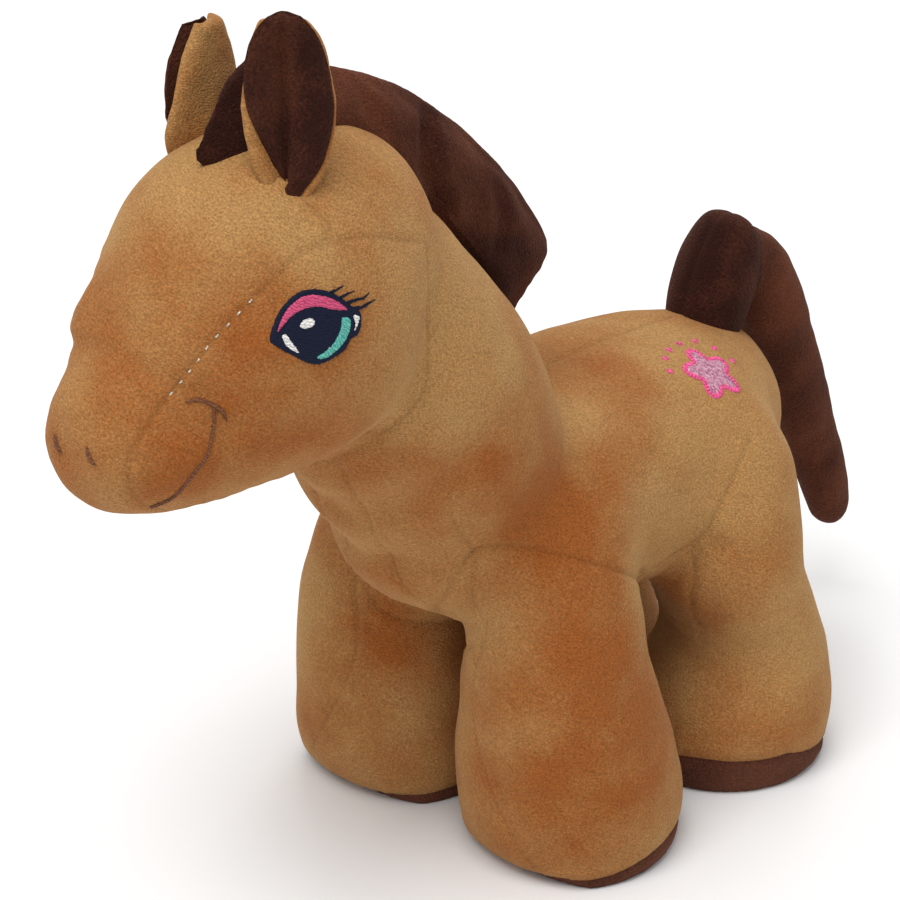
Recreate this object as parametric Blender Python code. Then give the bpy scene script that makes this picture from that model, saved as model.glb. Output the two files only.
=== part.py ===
"""A stuffed plush horse, on its four soles at z = 0, nose towards -Y, its left side towards +X."""

import math

import bmesh
import bpy
from mathutils import Matrix, Vector

MM = 0.001

# Cloth and gaps
SKIN = 1.8 * MM  # short-pile plush with its backing
GAP = 0.3 * MM  # between neighbouring pieces
OVERRUN = 20 * MM  # how far a cutter runs past what it cuts
SLIVER = 0.02 * MM  # edges shorter than this are closed up
THREAD = 0.7 * MM  # how far embroidery stands up

# Body
BODY_LENGTH = 169 * MM  # chest to rump
BODY_WIDTH = 92 * MM
BODY_DEPTH = 77 * MM  # belly to back
BODY_MIDDLE = 99 * MM  # height of the middle of the flank above the floor
CHEST_REACH = 49 * MM  # chest ahead of the middle of the front legs
RUMP = BODY_LENGTH - CHEST_REACH  # rump behind the middle of the front legs
GUSSET_WIDTH = 34 * MM  # belly panel
# along the body from chest to rump: rise of the middle, half width and half depth
BODY_RISE_SHARES = (0.14, 0.06, 0.0, 0.0, 0.0, 0.02)
BODY_WIDTH_SHARES = (0.86, 0.98, 0.99, 0.97, 0.96, 0.8)
BODY_DEPTH_SHARES = (0.9, 0.98, 0.97, 0.96, 1.0, 0.96)

# Legs
FRONT_LEG_WIDTH = 67 * MM
FRONT_LEG_DEPTH = 69 * MM
FRONT_LEG_TOP = 113 * MM
REAR_LEG_WIDTH = 67 * MM
REAR_LEG_DEPTH = 67 * MM
REAR_LEG_TOP = 118 * MM
LEGS_APART = 0.8 * MM  # left and right leg, at full width
STRIDE_GAP = 3.7 * MM  # front and rear leg, at full depth
SOLE_HEIGHT = 7 * MM
LEG_HINGE_HEIGHT = 92 * MM
LEG_SWING_OUT = 15.0  # degrees, away from the other pair
LEG_SWING_IN = 2.0  # degrees, towards the other pair
# down the leg from its top to the floor, of its width and depth; it leans outwards and slopes backwards
FRONT_LEG_WIDTH_SHARES = (0.6, 0.74, 0.82, 0.93, 1.01, 1.0)
FRONT_LEG_DEPTH_SHARES = (0.66, 0.71, 0.78, 0.9, 1.01, 1.0)
FRONT_LEG_LEAN_SHARES = (0.0, 0.0, -0.01, 0.0, 0.0, 0.0)
FRONT_LEG_SLOPE_SHARES = (-0.03, -0.07, -0.1, -0.05, 0.0, 0.0)
REAR_LEG_WIDTH_SHARES = (0.6, 0.76, 0.81, 0.83, 1.01, 1.0)
REAR_LEG_DEPTH_SHARES = (0.8, 0.76, 0.71, 0.68, 1.01, 1.0)
REAR_LEG_LEAN_SHARES = (0.0, 0.02, 0.02, 0.04, 0.0, 0.0)
REAR_LEG_SLOPE_SHARES = (-0.04, -0.06, -0.07, 0.07, 0.03, 0.02)
LEG_SUNK = 8 * MM  # how much of the rounded foot the flat sole takes away
LEG_TOP_BLUNT = 0.55
LEG_FOOT_BLUNT = 0.12

# Neck
NECK_DEPTH = 77 * MM  # throat to nape
NECK_WIDTH = 79 * MM
NECK_ROOT = (-7 * MM, 110 * MM)  # y from the front legs, height
NECK_POLL = (-62 * MM, 204 * MM)
NECK_BOW = 6 * MM  # how far the middle of the neck bows forward
NECK_WIDTH_SHARES = (1.08, 1.07, 1.03, 1.0, 0.96)
NECK_DEPTH_SHARES = (1.18, 1.03, 0.95, 0.93, 0.98)
NECK_HINGE = (-40 * MM, 150 * MM)  # y from the front legs, height
NECK_SOCKET_RADIUS = 46 * MM
NECK_NOD = 8.0  # degrees each way

# Head
HEAD_WIDTH = 85 * MM
HEAD_DEPTH = 92 * MM  # crown to jaw
HEAD_POLL = (-42 * MM, 198 * MM)  # y from the front legs, height
HEAD_BROW = (-87 * MM, 190.8 * MM)  # between the eyes
HEAD_NOSE = (-155 * MM, 165 * MM)
# along the head from the poll to the nose: y from the front legs and height
HEAD_LINE = (
    HEAD_POLL,
    (-64 * MM, 198 * MM),
    HEAD_BROW,
    (-110 * MM, 179.2 * MM),
    (-132 * MM, 169.7 * MM),
    HEAD_NOSE,
)
FOREHEAD_WIDTH = 40 * MM  # panel between the eyes
CHIN_WIDTH = 30 * MM
HEAD_WIDTH_SHARES = (0.92, 1.0, 1.0, 0.84, 0.64, 0.6)
HEAD_DEPTH_SHARES = (0.92, 1.0, 1.025, 0.88, 0.68, 0.54)

# Ears
EAR_HEIGHT = 47 * MM
EAR_WIDTH = 25.5 * MM
EAR_LAYER = 2.2 * MM
EAR_RIM = 1.6 * MM  # tan back showing past the dark lining
EAR_CUP = 5 * MM  # how far the rims curl forward
# left and right ear, which sit a little differently
EAR_ROOT = ((17.5 * MM, -95 * MM, 225 * MM), (18 * MM, -87 * MM, 213 * MM))  # off the middle, y, height
EAR_TURN = (55.0, 84.0)  # degrees that the lining faces outwards
EAR_LEAN = (2.0, -2.0)  # degrees inwards
EAR_FOLD_IN = 8.0  # degrees towards the mane
EAR_FOLD_OUT = 20.0
EAR_WIDTH_SHARES = (0.5, 0.78, 0.96, 1.0, 0.97, 0.84, 0.5)
EAR_TIP_SHARE = 0.08  # how much taller the middle of the leaf is

# Mane
MANE_THICKNESS = 17 * MM
MANE_HEIGHT = 36 * MM  # across the fin
# along the fin from the forelock to the withers: y from the front legs and height
MANE_LINE = (
    (-110 * MM, 238 * MM),
    (-88 * MM, 246 * MM),
    (-57 * MM, 234 * MM),
    (-31 * MM, 217 * MM),
    (-9 * MM, 194 * MM),
    (14 * MM, 162 * MM),
)
MANE_WIDTH_SHARES = (0.8, 0.9, 0.95, 1.0, 1.0, 0.8)
MANE_HEIGHT_SHARES = (0.7, 0.85, 0.86, 0.95, 1.0, 0.95)

# Tail
TAIL_ROOT_THICKNESS = 26 * MM
TAIL_SET_IN = 28 * MM  # foot of the root ahead of the rump
TAIL_FOOT_HEIGHT = 112 * MM
TAIL_TOP_IN = 10 * MM  # top of the root ahead of the rump
TAIL_TOP_HEIGHT = 159 * MM
TAIL_DROP_THICKNESS = 19 * MM
TAIL_REACH = 52 * MM  # tip of the tail behind the rump
TAIL_TIP_HEIGHT = 29 * MM
TAIL_FALL = 123 * MM  # from the start of the drop to its tip
TAIL_ROOT_LOW = (RUMP - TAIL_SET_IN, TAIL_FOOT_HEIGHT)  # y from the front legs, height
TAIL_ROOT_TOP = (RUMP - TAIL_TOP_IN, TAIL_TOP_HEIGHT)
# the drop's middle line, in shares of the reach and of the fall
TAIL_LINE_SHARES = ((-0.231, 1.0), (0.25, 0.756), (0.635, 0.415), (1.0, 0.0))
TAIL_DROP_LINE = [(RUMP + TAIL_REACH * out, TAIL_TIP_HEIGHT + TAIL_FALL * up) for out, up in TAIL_LINE_SHARES]
TAIL_HINGE_SHARE = 0.3  # how far up the root its hinge lies
TAIL_CREASE_SHARE = 0.75  # how far up the root the drop begins
TAIL_LIFT_UP = 12.0  # degrees
TAIL_LIFT_DOWN = 6.0
TAIL_BEND_OUT = 12.0  # degrees, away from the rump
TAIL_BEND_IN = 3.0
TAIL_ROOT_SHARES = (0.95, 1.0, 1.0, 0.95)
TAIL_DROP_SHARES = (1.0, 0.98, 0.95, 1.1)

# Face and embroidery
EYE_WIDTH = 24 * MM
EYE_HEIGHT = 20 * MM
EYE_MIDDLE = (38.5 * MM, -105.5 * MM, 198.5 * MM)  # off the middle, y from the front legs, height
EYE_TURN = 22.0  # degrees forward of straight out
EYE_TILT = 8.0  # degrees up
MOUTH_MIDDLE = (24 * MM, -130 * MM, 168 * MM)
MOUTH_TURN = 25.0  # degrees forward of straight out
# the thread line from its corner to the chin, back and up from its middle
MOUTH_LINE = (
    (-5.5 * MM, 15.5 * MM),
    (0.5 * MM, 14.5 * MM),
    (1.2 * MM, 9 * MM),
    (0.2 * MM, 4 * MM),
    (-0.8 * MM, -1 * MM),
    (-3.4 * MM, -5 * MM),
    (-6.4 * MM, -10 * MM),
)
MOUTH_WIDTH = 1.6 * MM
NOSTRIL_LENGTH = 8 * MM
NOSTRIL_WIDTH = 1.6 * MM
NOSTRIL_BEND_SHARE = 0.25  # how far the nostril bows, of half its length
NOSTRIL_MIDDLE = (8 * MM, -152 * MM, 170 * MM)
NOSTRIL_TURN = 65.0  # degrees forward of straight out
NOSTRIL_TILT = 20.0
MOTIF_SIZE = 20 * MM
MOTIF_SIDE = 23 * MM  # off the middle
MOTIF_SET_IN = 49 * MM  # ahead of the rump
MOTIF_HEIGHT = 128 * MM
MOTIF_MIDDLE = (MOTIF_SIDE, RUMP - MOTIF_SET_IN, MOTIF_HEIGHT)
MOTIF_TURN = -12.0  # degrees forward of straight out
MOTIF_TILT = 50.0  # degrees up
MOTIF_PETALS = 5
PETAL_STEPS = 6
PETAL_DIP_SHARE = 0.22  # how deep the petals are parted, of the flower's radius
# outlines, as shares of half the eye's width and height, clockwise from the front corner
EYE_OUTLINE_SHARES = (
    (-1.0, 0.12), (-0.62, 0.62), (-0.1, 0.98), (0.42, 0.9), (0.8, 0.5),
    (1.0, -0.06), (0.62, -0.6), (0.12, -0.98), (-0.3, -0.82), (-0.66, -0.36),
)
LID_OUTLINE_SHARES = (
    (-0.86, 0.16), (-0.56, 0.6), (-0.08, 0.9), (0.4, 0.82), (0.68, 0.46), (0.3, 0.56), (-0.2, 0.5),
)
ARC_OUTLINE_SHARES = (
    (0.5, 0.26), (0.66, 0.2), (0.6, -0.3), (0.2, -0.76), (-0.04, -0.8), (0.26, -0.46), (0.44, -0.1),
)

# Fineness
BODY_SIDES = 22
BODY_RINGS = 15
HEAD_SIDES = 24
HEAD_RINGS = 15
LEG_SIDES = 16
LEG_RINGS = 12
TRIM_SIDES = 12
TRIM_RINGS = 12
SOCKET_STEPS = 24
EAR_STEPS = 8
EAR_ACROSS = 6

TAN = (0.30, 0.135, 0.042)
CHESTNUT = (0.058, 0.017, 0.009)
FIBRE = (0.82, 0.81, 0.78)
NAVY = (0.008, 0.012, 0.03)
PINK = (0.66, 0.08, 0.2)
TEAL = (0.1, 0.36, 0.33)
BROWN_THREAD = (0.16, 0.06, 0.03)


def smooth(shares, t):
    """The value at t, from 0 to 1, on a smooth curve through evenly spaced values."""
    last = len(shares) - 1
    place = min(max(t, 0), 1) * last
    i = min(int(place), last - 1)
    before, start, end, after = (shares[min(max(i + k, 0), last)] for k in (-1, 0, 1, 2))
    f = place - i
    cubic = 3 * (start - end) + after - before
    square = 2 * before - 5 * start + 4 * end - after
    return start + f / 2 * (end - before + f * (square + f * cubic))


def make_object(name, points, faces):
    mesh = bpy.data.meshes.new(name)
    mesh.from_pydata([tuple(p) for p in points], [], faces)
    shape = bmesh.new()
    shape.from_mesh(mesh)
    bmesh.ops.recalc_face_normals(shape, faces=shape.faces)
    shape.to_mesh(mesh)
    shape.free()
    made = bpy.data.objects.new(name, mesh)
    bpy.context.scene.collection.objects.link(made)
    return made


class Form:
    """A stuffed form: rings of ellipses along a spine in a plane of constant x, closed at both ends."""

    def __init__(self, spine, width, widths, depth, depths, sides, rings, blunt=(0.7, 0.7), level=False):
        self.spine, self.level, self.blunt = [Vector(p) for p in spine], level, blunt
        self.width, self.widths, self.depth, self.depths = width, widths, depth, depths
        self.sides, self.rings = sides, rings

    def middle(self, t):
        return Vector([smooth([p[i] for p in self.spine], t) for i in range(3)])

    def heading(self, t):
        step = 1 / self.rings / self.rings
        return (self.middle(min(t + step, 1)) - self.middle(max(t - step, 0))).normalized()

    def solid(self, name, grow=0.0):
        """The closed mesh, its surface moved out by grow."""
        points, faces = [], []
        for ring in range(1, self.rings):
            turn = math.pi * ring / self.rings
            t = (1 - math.cos(turn)) / 2
            dome = math.sin(turn) ** self.blunt[t > 0.5]
            ahead = self.heading(t)
            across = Vector((0, -1, 0)) if self.level else Vector((1, 0, 0)).cross(ahead)
            side = self.width / 2 * smooth(self.widths, t) * dome + grow * math.sin(turn) ** 0.5
            up = self.depth / 2 * smooth(self.depths, t) * dome + grow * math.sin(turn) ** 0.5
            centre = self.middle(t) - ahead * grow * math.cos(turn)
            for k in range(self.sides):
                a = math.tau * (k + 0.5) / self.sides
                points.append(centre + Vector((side * math.cos(a), 0, 0)) + across * up * math.sin(a))
        first = len(points)
        points += [self.middle(0) - self.heading(0) * grow, self.middle(1) + self.heading(1) * grow]
        for k in range(self.sides):
            n = (k + 1) % self.sides
            faces.append((first, k, n))
            faces.append((first + 1, first - self.sides + n, first - self.sides + k))
            for ring in range(self.rings - 2):
                low = ring * self.sides
                faces.append((low + k, low + self.sides + k, low + self.sides + n, low + n))
        return make_object(name, points, faces)


def prism(name, outline, low, high):
    """A closed prism along X from low to high over an outline of y and z."""
    count = len(outline)
    points = [(x, y, z) for x in (low, high) for y, z in outline]
    faces = [tuple(range(count)), tuple(range(2 * count - 1, count - 1, -1))]
    faces += [(i, (i + 1) % count, count + (i + 1) % count, count + i) for i in range(count)]
    return make_object(name, points, faces)


def box(name, low, high):
    (y0, z0), (y1, z1) = low[1:], high[1:]
    return prism(name, ((y0, z0), (y1, z0), (y1, z1), (y0, z1)), low[0], high[0])


def boolean(piece, tool, operation):
    """The piece with the tool cut away, joined, or kept in common, as a plain mesh.

    Skins, stuffing and turned copies lie almost on one another, where the EXACT solver loses pieces.
    """
    modifier = piece.modifiers.new("shape", "BOOLEAN")
    modifier.operation, modifier.solver, modifier.object = operation, "MANIFOLD", tool
    graph = bpy.context.evaluated_depsgraph_get()
    mesh = bpy.data.meshes.new_from_object(piece.evaluated_get(graph))
    piece.modifiers.clear()
    old, piece.data = piece.data, mesh
    bpy.data.meshes.remove(old)
    discard(tool)
    return piece


def cut(piece, tool):
    return boolean(piece, tool, "DIFFERENCE")


def join(piece, tool):
    return boolean(piece, tool, "UNION")


def common(piece, tool):
    return boolean(piece, tool, "INTERSECT")


def discard(piece):
    mesh = piece.data
    bpy.data.objects.remove(piece)
    bpy.data.meshes.remove(mesh)


def copy_of(piece, name):
    made = bpy.data.objects.new(name, piece.data.copy())
    bpy.context.scene.collection.objects.link(made)
    return made


def turned(piece, hinge, axis, degrees):
    """The piece's mesh turned about a hinge."""
    about = Matrix.Translation(hinge) @ Matrix.Rotation(math.radians(degrees), 4, axis)
    piece.data.transform(about @ Matrix.Translation(-Vector(hinge)))
    return piece


def clear_of(piece, make_neighbour, hinge, axis, limits):
    """Cuts the piece back from its larger neighbour, at rest, at both ends and half way through its swing."""
    for degrees in (0.0, *limits, max(limits, key=abs) / 2):
        cut(piece, turned(make_neighbour(), hinge, axis, -degrees))
    return piece


MATERIALS = {}


def finish(name, colour, roughness):
    if name not in MATERIALS:
        made = bpy.data.materials.new(name)
        made.use_nodes = True
        shader = made.node_tree.nodes["Principled BSDF"]
        shader.inputs["Base Color"].default_value = (*colour, 1)
        shader.inputs["Roughness"].default_value = roughness
        shader.inputs["Metallic"].default_value = 0
        made.diffuse_color = (*colour, 1)
        MATERIALS[name] = made
    return MATERIALS[name]


PLUSH = ("tan_plush", TAN, 0.95)
DARK_PLUSH = ("dark_plush", CHESTNUT, 0.95)
STUFFING = ("stuffing", FIBRE, 1.0)
SHARP = math.radians(40)


def without_offcuts(piece):
    """Drops the slivers and the crumbs that cuts leave on the piece, and closes the slits they leave."""
    shape = bmesh.new()
    shape.from_mesh(piece.data)
    bmesh.ops.remove_doubles(shape, verts=shape.verts, dist=SLIVER)
    bmesh.ops.dissolve_degenerate(shape, edges=shape.edges, dist=SLIVER)
    bmesh.ops.holes_fill(shape, edges=[e for e in shape.edges if e.is_boundary])
    left, lumps = set(shape.faces), []
    while left:
        lump, rim = [], [left.pop()]
        while rim:
            face = rim.pop()
            lump.append(face)
            near = {f for e in face.edges for f in e.link_faces if f in left}
            rim += near
            left -= near
        lumps.append(lump)
    lumps.sort(key=len)
    bmesh.ops.delete(shape, geom=[f for lump in lumps[:-1] for f in lump], context="FACES")
    bmesh.ops.triangulate(shape, faces=shape.faces)
    shape.to_mesh(piece.data)
    shape.free()
    return piece


def node(piece, name, material, joint):
    """Names the piece, gives it its material, and hangs it on its joint's empty."""
    without_offcuts(piece)
    piece.name = piece.data.name = name
    piece.data.materials.clear()
    piece.data.materials.append(finish(*material))
    piece.data.shade_smooth()
    piece.data.set_sharp_from_angle(angle=SHARP)
    piece.parent = joint
    piece.data.transform(Matrix.Translation(-joint.matrix_world.translation))
    return piece


def joint_at(name, place, parent=None):
    """An empty on a joint's axis."""
    made = bpy.data.objects.new(name, None)
    made.empty_display_size = OVERRUN
    bpy.context.scene.collection.objects.link(made)
    made.parent = parent
    made.location = Vector(place) - (parent.matrix_world.translation if parent else Vector())
    bpy.context.view_layer.update()
    return made


FAR = BODY_LENGTH + HEAD_DEPTH + EAR_HEIGHT  # past everything, for cutters

BODY = Form(
    [
        (0, BODY_LENGTH * i / (len(BODY_RISE_SHARES) - 1) - CHEST_REACH, BODY_MIDDLE + BODY_DEPTH * share)
        for i, share in enumerate(BODY_RISE_SHARES)
    ],
    BODY_WIDTH, BODY_WIDTH_SHARES, BODY_DEPTH, BODY_DEPTH_SHARES, BODY_SIDES, BODY_RINGS,
)
NECK_RUN = Vector((0, NECK_POLL[0] - NECK_ROOT[0], NECK_POLL[1] - NECK_ROOT[1]))
NECK_AHEAD = NECK_RUN.normalized()
NECK = Form(
    [
        Vector((0, *NECK_ROOT)) + NECK_RUN * i / 4 - Vector((1, 0, 0)).cross(NECK_AHEAD) * NECK_BOW * bow
        for i, bow in enumerate((0, -1, -1, -1, 0))
    ],
    NECK_WIDTH, NECK_WIDTH_SHARES, NECK_DEPTH, NECK_DEPTH_SHARES, BODY_SIDES, BODY_RINGS, (0.5, 0.5),
)
HEAD = Form(
    [(0, y, z) for y, z in HEAD_LINE],
    HEAD_WIDTH, HEAD_WIDTH_SHARES, HEAD_DEPTH, HEAD_DEPTH_SHARES, HEAD_SIDES, HEAD_RINGS,
)
MANE = Form(
    [(0, y, z) for y, z in MANE_LINE],
    MANE_THICKNESS, MANE_WIDTH_SHARES, MANE_HEIGHT, MANE_HEIGHT_SHARES, TRIM_SIDES, TRIM_RINGS, (0.6, 0.45),
)
TAIL_ROOT = Form(
    [Vector((0, *TAIL_ROOT_LOW)).lerp(Vector((0, *TAIL_ROOT_TOP)), i / 3) for i in range(4)],
    TAIL_ROOT_THICKNESS, TAIL_ROOT_SHARES, TAIL_ROOT_THICKNESS, TAIL_ROOT_SHARES, TRIM_SIDES, TRIM_RINGS,
)
TAIL_DROP = Form(
    [(0, y, z) for y, z in TAIL_DROP_LINE],
    TAIL_DROP_THICKNESS, TAIL_DROP_SHARES, TAIL_DROP_THICKNESS, TAIL_DROP_SHARES, TRIM_SIDES, TRIM_RINGS,
)


def neck_region(grow=0.0):
    """What belongs to the neck: a barrel round its hinge, and everything above it."""
    hinge = Vector((0, *NECK_HINGE))
    ahead, across = NECK_AHEAD, Vector((1, 0, 0)).cross(NECK_AHEAD)
    radius = NECK_SOCKET_RADIUS + grow
    arc = [
        hinge - across * radius * math.cos(math.pi * i / SOCKET_STEPS)
        - ahead * (radius * math.sin(math.pi * i / SOCKET_STEPS) + grow)
        for i in range(SOCKET_STEPS + 1)
    ]
    wide = [hinge + across * FAR - ahead * grow, hinge + across * FAR + ahead * FAR]
    wide += [hinge - across * FAR + ahead * FAR, hinge - across * FAR - ahead * grow]
    return prism("neck_region", [(p.y, p.z) for p in arc + wide], -BODY_WIDTH, BODY_WIDTH)


def body_and_neck(grow=0.0):
    return join(BODY.solid("body_and_neck", grow), NECK.solid("neck_form", grow))


def split_sides(shell, names, joint):
    """A left and a right panel, on either side of a seam in the middle."""
    for sign, name in zip((1, -1), names):
        inner, outer = sorted((sign * GAP / 2, sign * FAR))
        half = box("half", (inner, -FAR, -FAR), (outer, FAR, FAR))
        node(common(copy_of(shell, name), half), name, PLUSH, joint)
    discard(shell)


def build_body(joint):
    whole = cut(body_and_neck(), neck_region(GAP))
    fill = common(copy_of(whole, "fill"), body_and_neck(-SKIN - GAP))
    node(fill, "body_stuffing", STUFFING, joint)
    shell = cut(whole, body_and_neck(-SKIN))
    front, rear = -CHEST_REACH - OVERRUN, RUMP + OVERRUN
    below = ((front, 0), (rear, 0), (rear, BODY_MIDDLE), (0, BODY_MIDDLE), (front, NECK_HINGE[1]))
    panel = prism("panel", below, -GUSSET_WIDTH / 2, GUSSET_WIDTH / 2)
    node(common(copy_of(shell, "belly_gusset"), panel), "belly_gusset", PLUSH, joint)
    grown = [(y, z + GAP) for y, z in below]
    cut(shell, prism("panel", grown, -GUSSET_WIDTH / 2 - GAP, GUSSET_WIDTH / 2 + GAP))
    split_sides(shell, ("body_side_left", "body_side_right"), joint)


def build_neck(joint):
    whole = cut(common(body_and_neck(), neck_region()), HEAD.solid("head_cut", GAP))
    fill = common(copy_of(whole, "fill"), body_and_neck(-SKIN - GAP))
    node(fill, "neck_stuffing", STUFFING, joint)
    split_sides(cut(whole, body_and_neck(-SKIN)), ("neck_side_left", "neck_side_right"), joint)


def build_head(joint):
    node(HEAD.solid("fill", -SKIN - GAP), "head_stuffing", STUFFING, joint)
    shell = cut(HEAD.solid("shell"), HEAD.solid("hollow", -SKIN))
    (back_y, back_z), (nose_y, nose_z) = HEAD_POLL, HEAD_NOSE
    line = ((back_y + OVERRUN, back_z), HEAD_BROW, (nose_y - OVERRUN, nose_z - OVERRUN / 4))
    top, bottom = HEAD_BROW[1] + HEAD_DEPTH, HEAD_BROW[1] - HEAD_DEPTH
    over = [*line, (line[2][0], top), (line[0][0], top)]
    under = [*((y, z - GAP) for y, z in line), (line[2][0], bottom), (line[0][0], bottom)]
    panels = ((over, -GAP, FOREHEAD_WIDTH, "forehead_gusset"), (under, GAP, CHIN_WIDTH, "chin_gusset"))
    for outline, step, width, name in panels:
        half = width / 2
        node(common(copy_of(shell, name), prism("panel", outline, -half, half)), name, PLUSH, joint)
        grown = [(y, z + step * (i < 3)) for i, (y, z) in enumerate(outline)]
        cut(shell, prism("panel", grown, -half - GAP, half + GAP))
    split_sides(shell, ("cheek_left", "cheek_right"), joint)


def facing(middle, turn, tilt, sign):
    """A frame on one side: its z axis points out of the surface, its x axis towards the tail."""
    out = Matrix.Rotation(math.radians(-sign * turn), 4, "Z") @ Vector((sign, 0, 0))
    out = (out + Vector((0, 0, math.tan(math.radians(tilt))))).normalized()
    back = Vector((0, 0, 1)).cross(out).normalized() * sign
    up = out.cross(back) * sign
    frame = Matrix((back, up, out)).transposed().to_4x4()
    frame.translation = Vector((sign * middle[0], *middle[1:]))
    return frame


def stitched(name, outline, frame, form, base, height, material, joint):
    """A patch of embroidery: the outline seen along the frame's z axis, lying on a form."""
    points = [frame @ Vector((x, y, z)) for z in (-OVERRUN, OVERRUN) for x, y in outline]
    count = len(outline)
    faces = [tuple(range(count)), tuple(range(2 * count - 1, count - 1, -1))]
    faces += [(i, (i + 1) % count, count + (i + 1) % count, count + i) for i in range(count)]
    patch = common(make_object(name, points, faces), form.solid("above", base + height))
    return node(cut(patch, form.solid("below", base)), name, material, joint)


def ribbon(points, width):
    """The outline of a thread line of a given width along points."""
    left, right = [], []
    for i, p in enumerate(points):
        ahead = Vector(points[min(i + 1, len(points) - 1)]) - Vector(points[max(i - 1, 0)])
        across = Vector((-ahead.y, ahead.x)).normalized() * width / 2
        left.append(Vector(p) + across)
        right.append(Vector(p) - across)
    return left + right[::-1]


def build_face(joint):
    half_width, half_height = EYE_WIDTH / 2, EYE_HEIGHT / 2
    lift = GAP + THREAD + GAP
    for sign, side in ((1, "left"), (-1, "right")):
        frame = facing(EYE_MIDDLE, EYE_TURN, EYE_TILT, sign)
        parts = (
            ("eye_ground", EYE_OUTLINE_SHARES, GAP, ("navy_thread", NAVY, 0.5)),
            ("eyelid", LID_OUTLINE_SHARES, lift, ("pink_thread", PINK, 0.45)),
            ("eye_arc", ARC_OUTLINE_SHARES, lift, ("teal_thread", TEAL, 0.45)),
        )
        for name, shares, base, material in parts:
            outline = [(u * half_width, v * half_height) for u, v in shares]
            stitched(f"{name}_{side}", outline, frame, HEAD, base, THREAD, material, joint)
        thread = ("brown_thread", BROWN_THREAD, 0.6)
        frame = facing(MOUTH_MIDDLE, MOUTH_TURN, 0, sign)
        mouth = ribbon(MOUTH_LINE, MOUTH_WIDTH)
        stitched(f"mouth_{side}", mouth, frame, HEAD, GAP, THREAD, thread, joint)
        frame = facing(NOSTRIL_MIDDLE, NOSTRIL_TURN, NOSTRIL_TILT, sign)
        half = NOSTRIL_LENGTH / 2
        line = [(0, -half), (-half * NOSTRIL_BEND_SHARE, 0), (0, half)]
        stitched(f"nostril_{side}", ribbon(line, NOSTRIL_WIDTH), frame, HEAD, GAP, THREAD, thread, joint)


def build_motif(joint):
    """A plain flower on the left of the rump."""
    frame = facing(MOTIF_MIDDLE, MOTIF_TURN, MOTIF_TILT, 1)
    steps = MOTIF_PETALS * PETAL_STEPS
    outline = []
    for i in range(steps):
        a = math.tau * i / steps
        radius = MOTIF_SIZE / 2 * (1 + PETAL_DIP_SHARE * (math.cos(MOTIF_PETALS * a) - 1))
        outline.append((radius * math.sin(a), radius * math.cos(a)))
    stitched("rump_embroidery", outline, frame, BODY, GAP, THREAD, ("pink_thread", PINK, 0.45), joint)


def leg_form(x, y, width, widths, leans, depth, depths, slopes, top):
    step = (top + LEG_SUNK) / (len(leans) - 1)
    spine = [
        (x + math.copysign(lean * width, x), y + slope * depth, top - step * i)
        for i, (lean, slope) in enumerate(zip(leans, slopes))
    ]
    blunt = (LEG_TOP_BLUNT, LEG_FOOT_BLUNT)
    return Form(spine, width, widths, depth, depths, LEG_SIDES, LEG_RINGS, blunt, level=True)


def build_leg(name, form, x, y, limits, root):
    hinge = Vector((x, y, LEG_HINGE_HEIGHT))
    joint = joint_at(f"{name}_leg_swing", hinge, root)
    whole = cut(form.solid("whole"), box("floor", (-FAR, -FAR, -FAR), (FAR, FAR, 0)))
    clear_of(whole, lambda: body_and_neck(GAP), hinge, "X", limits)
    sole = copy_of(whole, "sole")
    cut(sole, box("upper", (-FAR, -FAR, SOLE_HEIGHT - GAP), (FAR, FAR, FAR)))
    node(sole, f"{name}_sole", DARK_PLUSH, joint)
    cut(whole, box("lower", (-FAR, -FAR, -FAR), (FAR, FAR, SOLE_HEIGHT)))
    fill = common(copy_of(whole, "fill"), form.solid("inside", -SKIN - GAP))
    node(fill, f"{name}_leg_stuffing", STUFFING, joint)
    shell = cut(whole, form.solid("inside", -SKIN))
    for sign, panel in ((1, "outer"), (-1, "inner")):
        edges = sorted((x + math.copysign(sign * GAP / 2, x * sign), math.copysign(FAR, x * sign)))
        half = box("half", (edges[0], -FAR, -FAR), (edges[1], FAR, FAR))
        node(common(copy_of(shell, panel), half), f"{name}_leg_{panel}", PLUSH, joint)
    discard(shell)


def build_legs(root):
    rear_y = (FRONT_LEG_DEPTH + REAR_LEG_DEPTH) / 2 + STRIDE_GAP
    pairs = (
        ("front", 0, (FRONT_LEG_WIDTH, FRONT_LEG_WIDTH_SHARES, FRONT_LEG_LEAN_SHARES),
         (FRONT_LEG_DEPTH, FRONT_LEG_DEPTH_SHARES, FRONT_LEG_SLOPE_SHARES, FRONT_LEG_TOP),
         (-LEG_SWING_OUT, LEG_SWING_IN)),
        ("rear", rear_y, (REAR_LEG_WIDTH, REAR_LEG_WIDTH_SHARES, REAR_LEG_LEAN_SHARES),
         (REAR_LEG_DEPTH, REAR_LEG_DEPTH_SHARES, REAR_LEG_SLOPE_SHARES, REAR_LEG_TOP),
         (-LEG_SWING_IN, LEG_SWING_OUT)),
    )
    for pair, y, sideways, lengthwise, limits in pairs:
        for sign, side in ((1, "left"), (-1, "right")):
            x = sign * (LEGS_APART + sideways[0]) / 2
            form = leg_form(x, y, *sideways, *lengthwise)
            build_leg(f"{pair}_{side}", form, x, y, limits, root)


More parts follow.
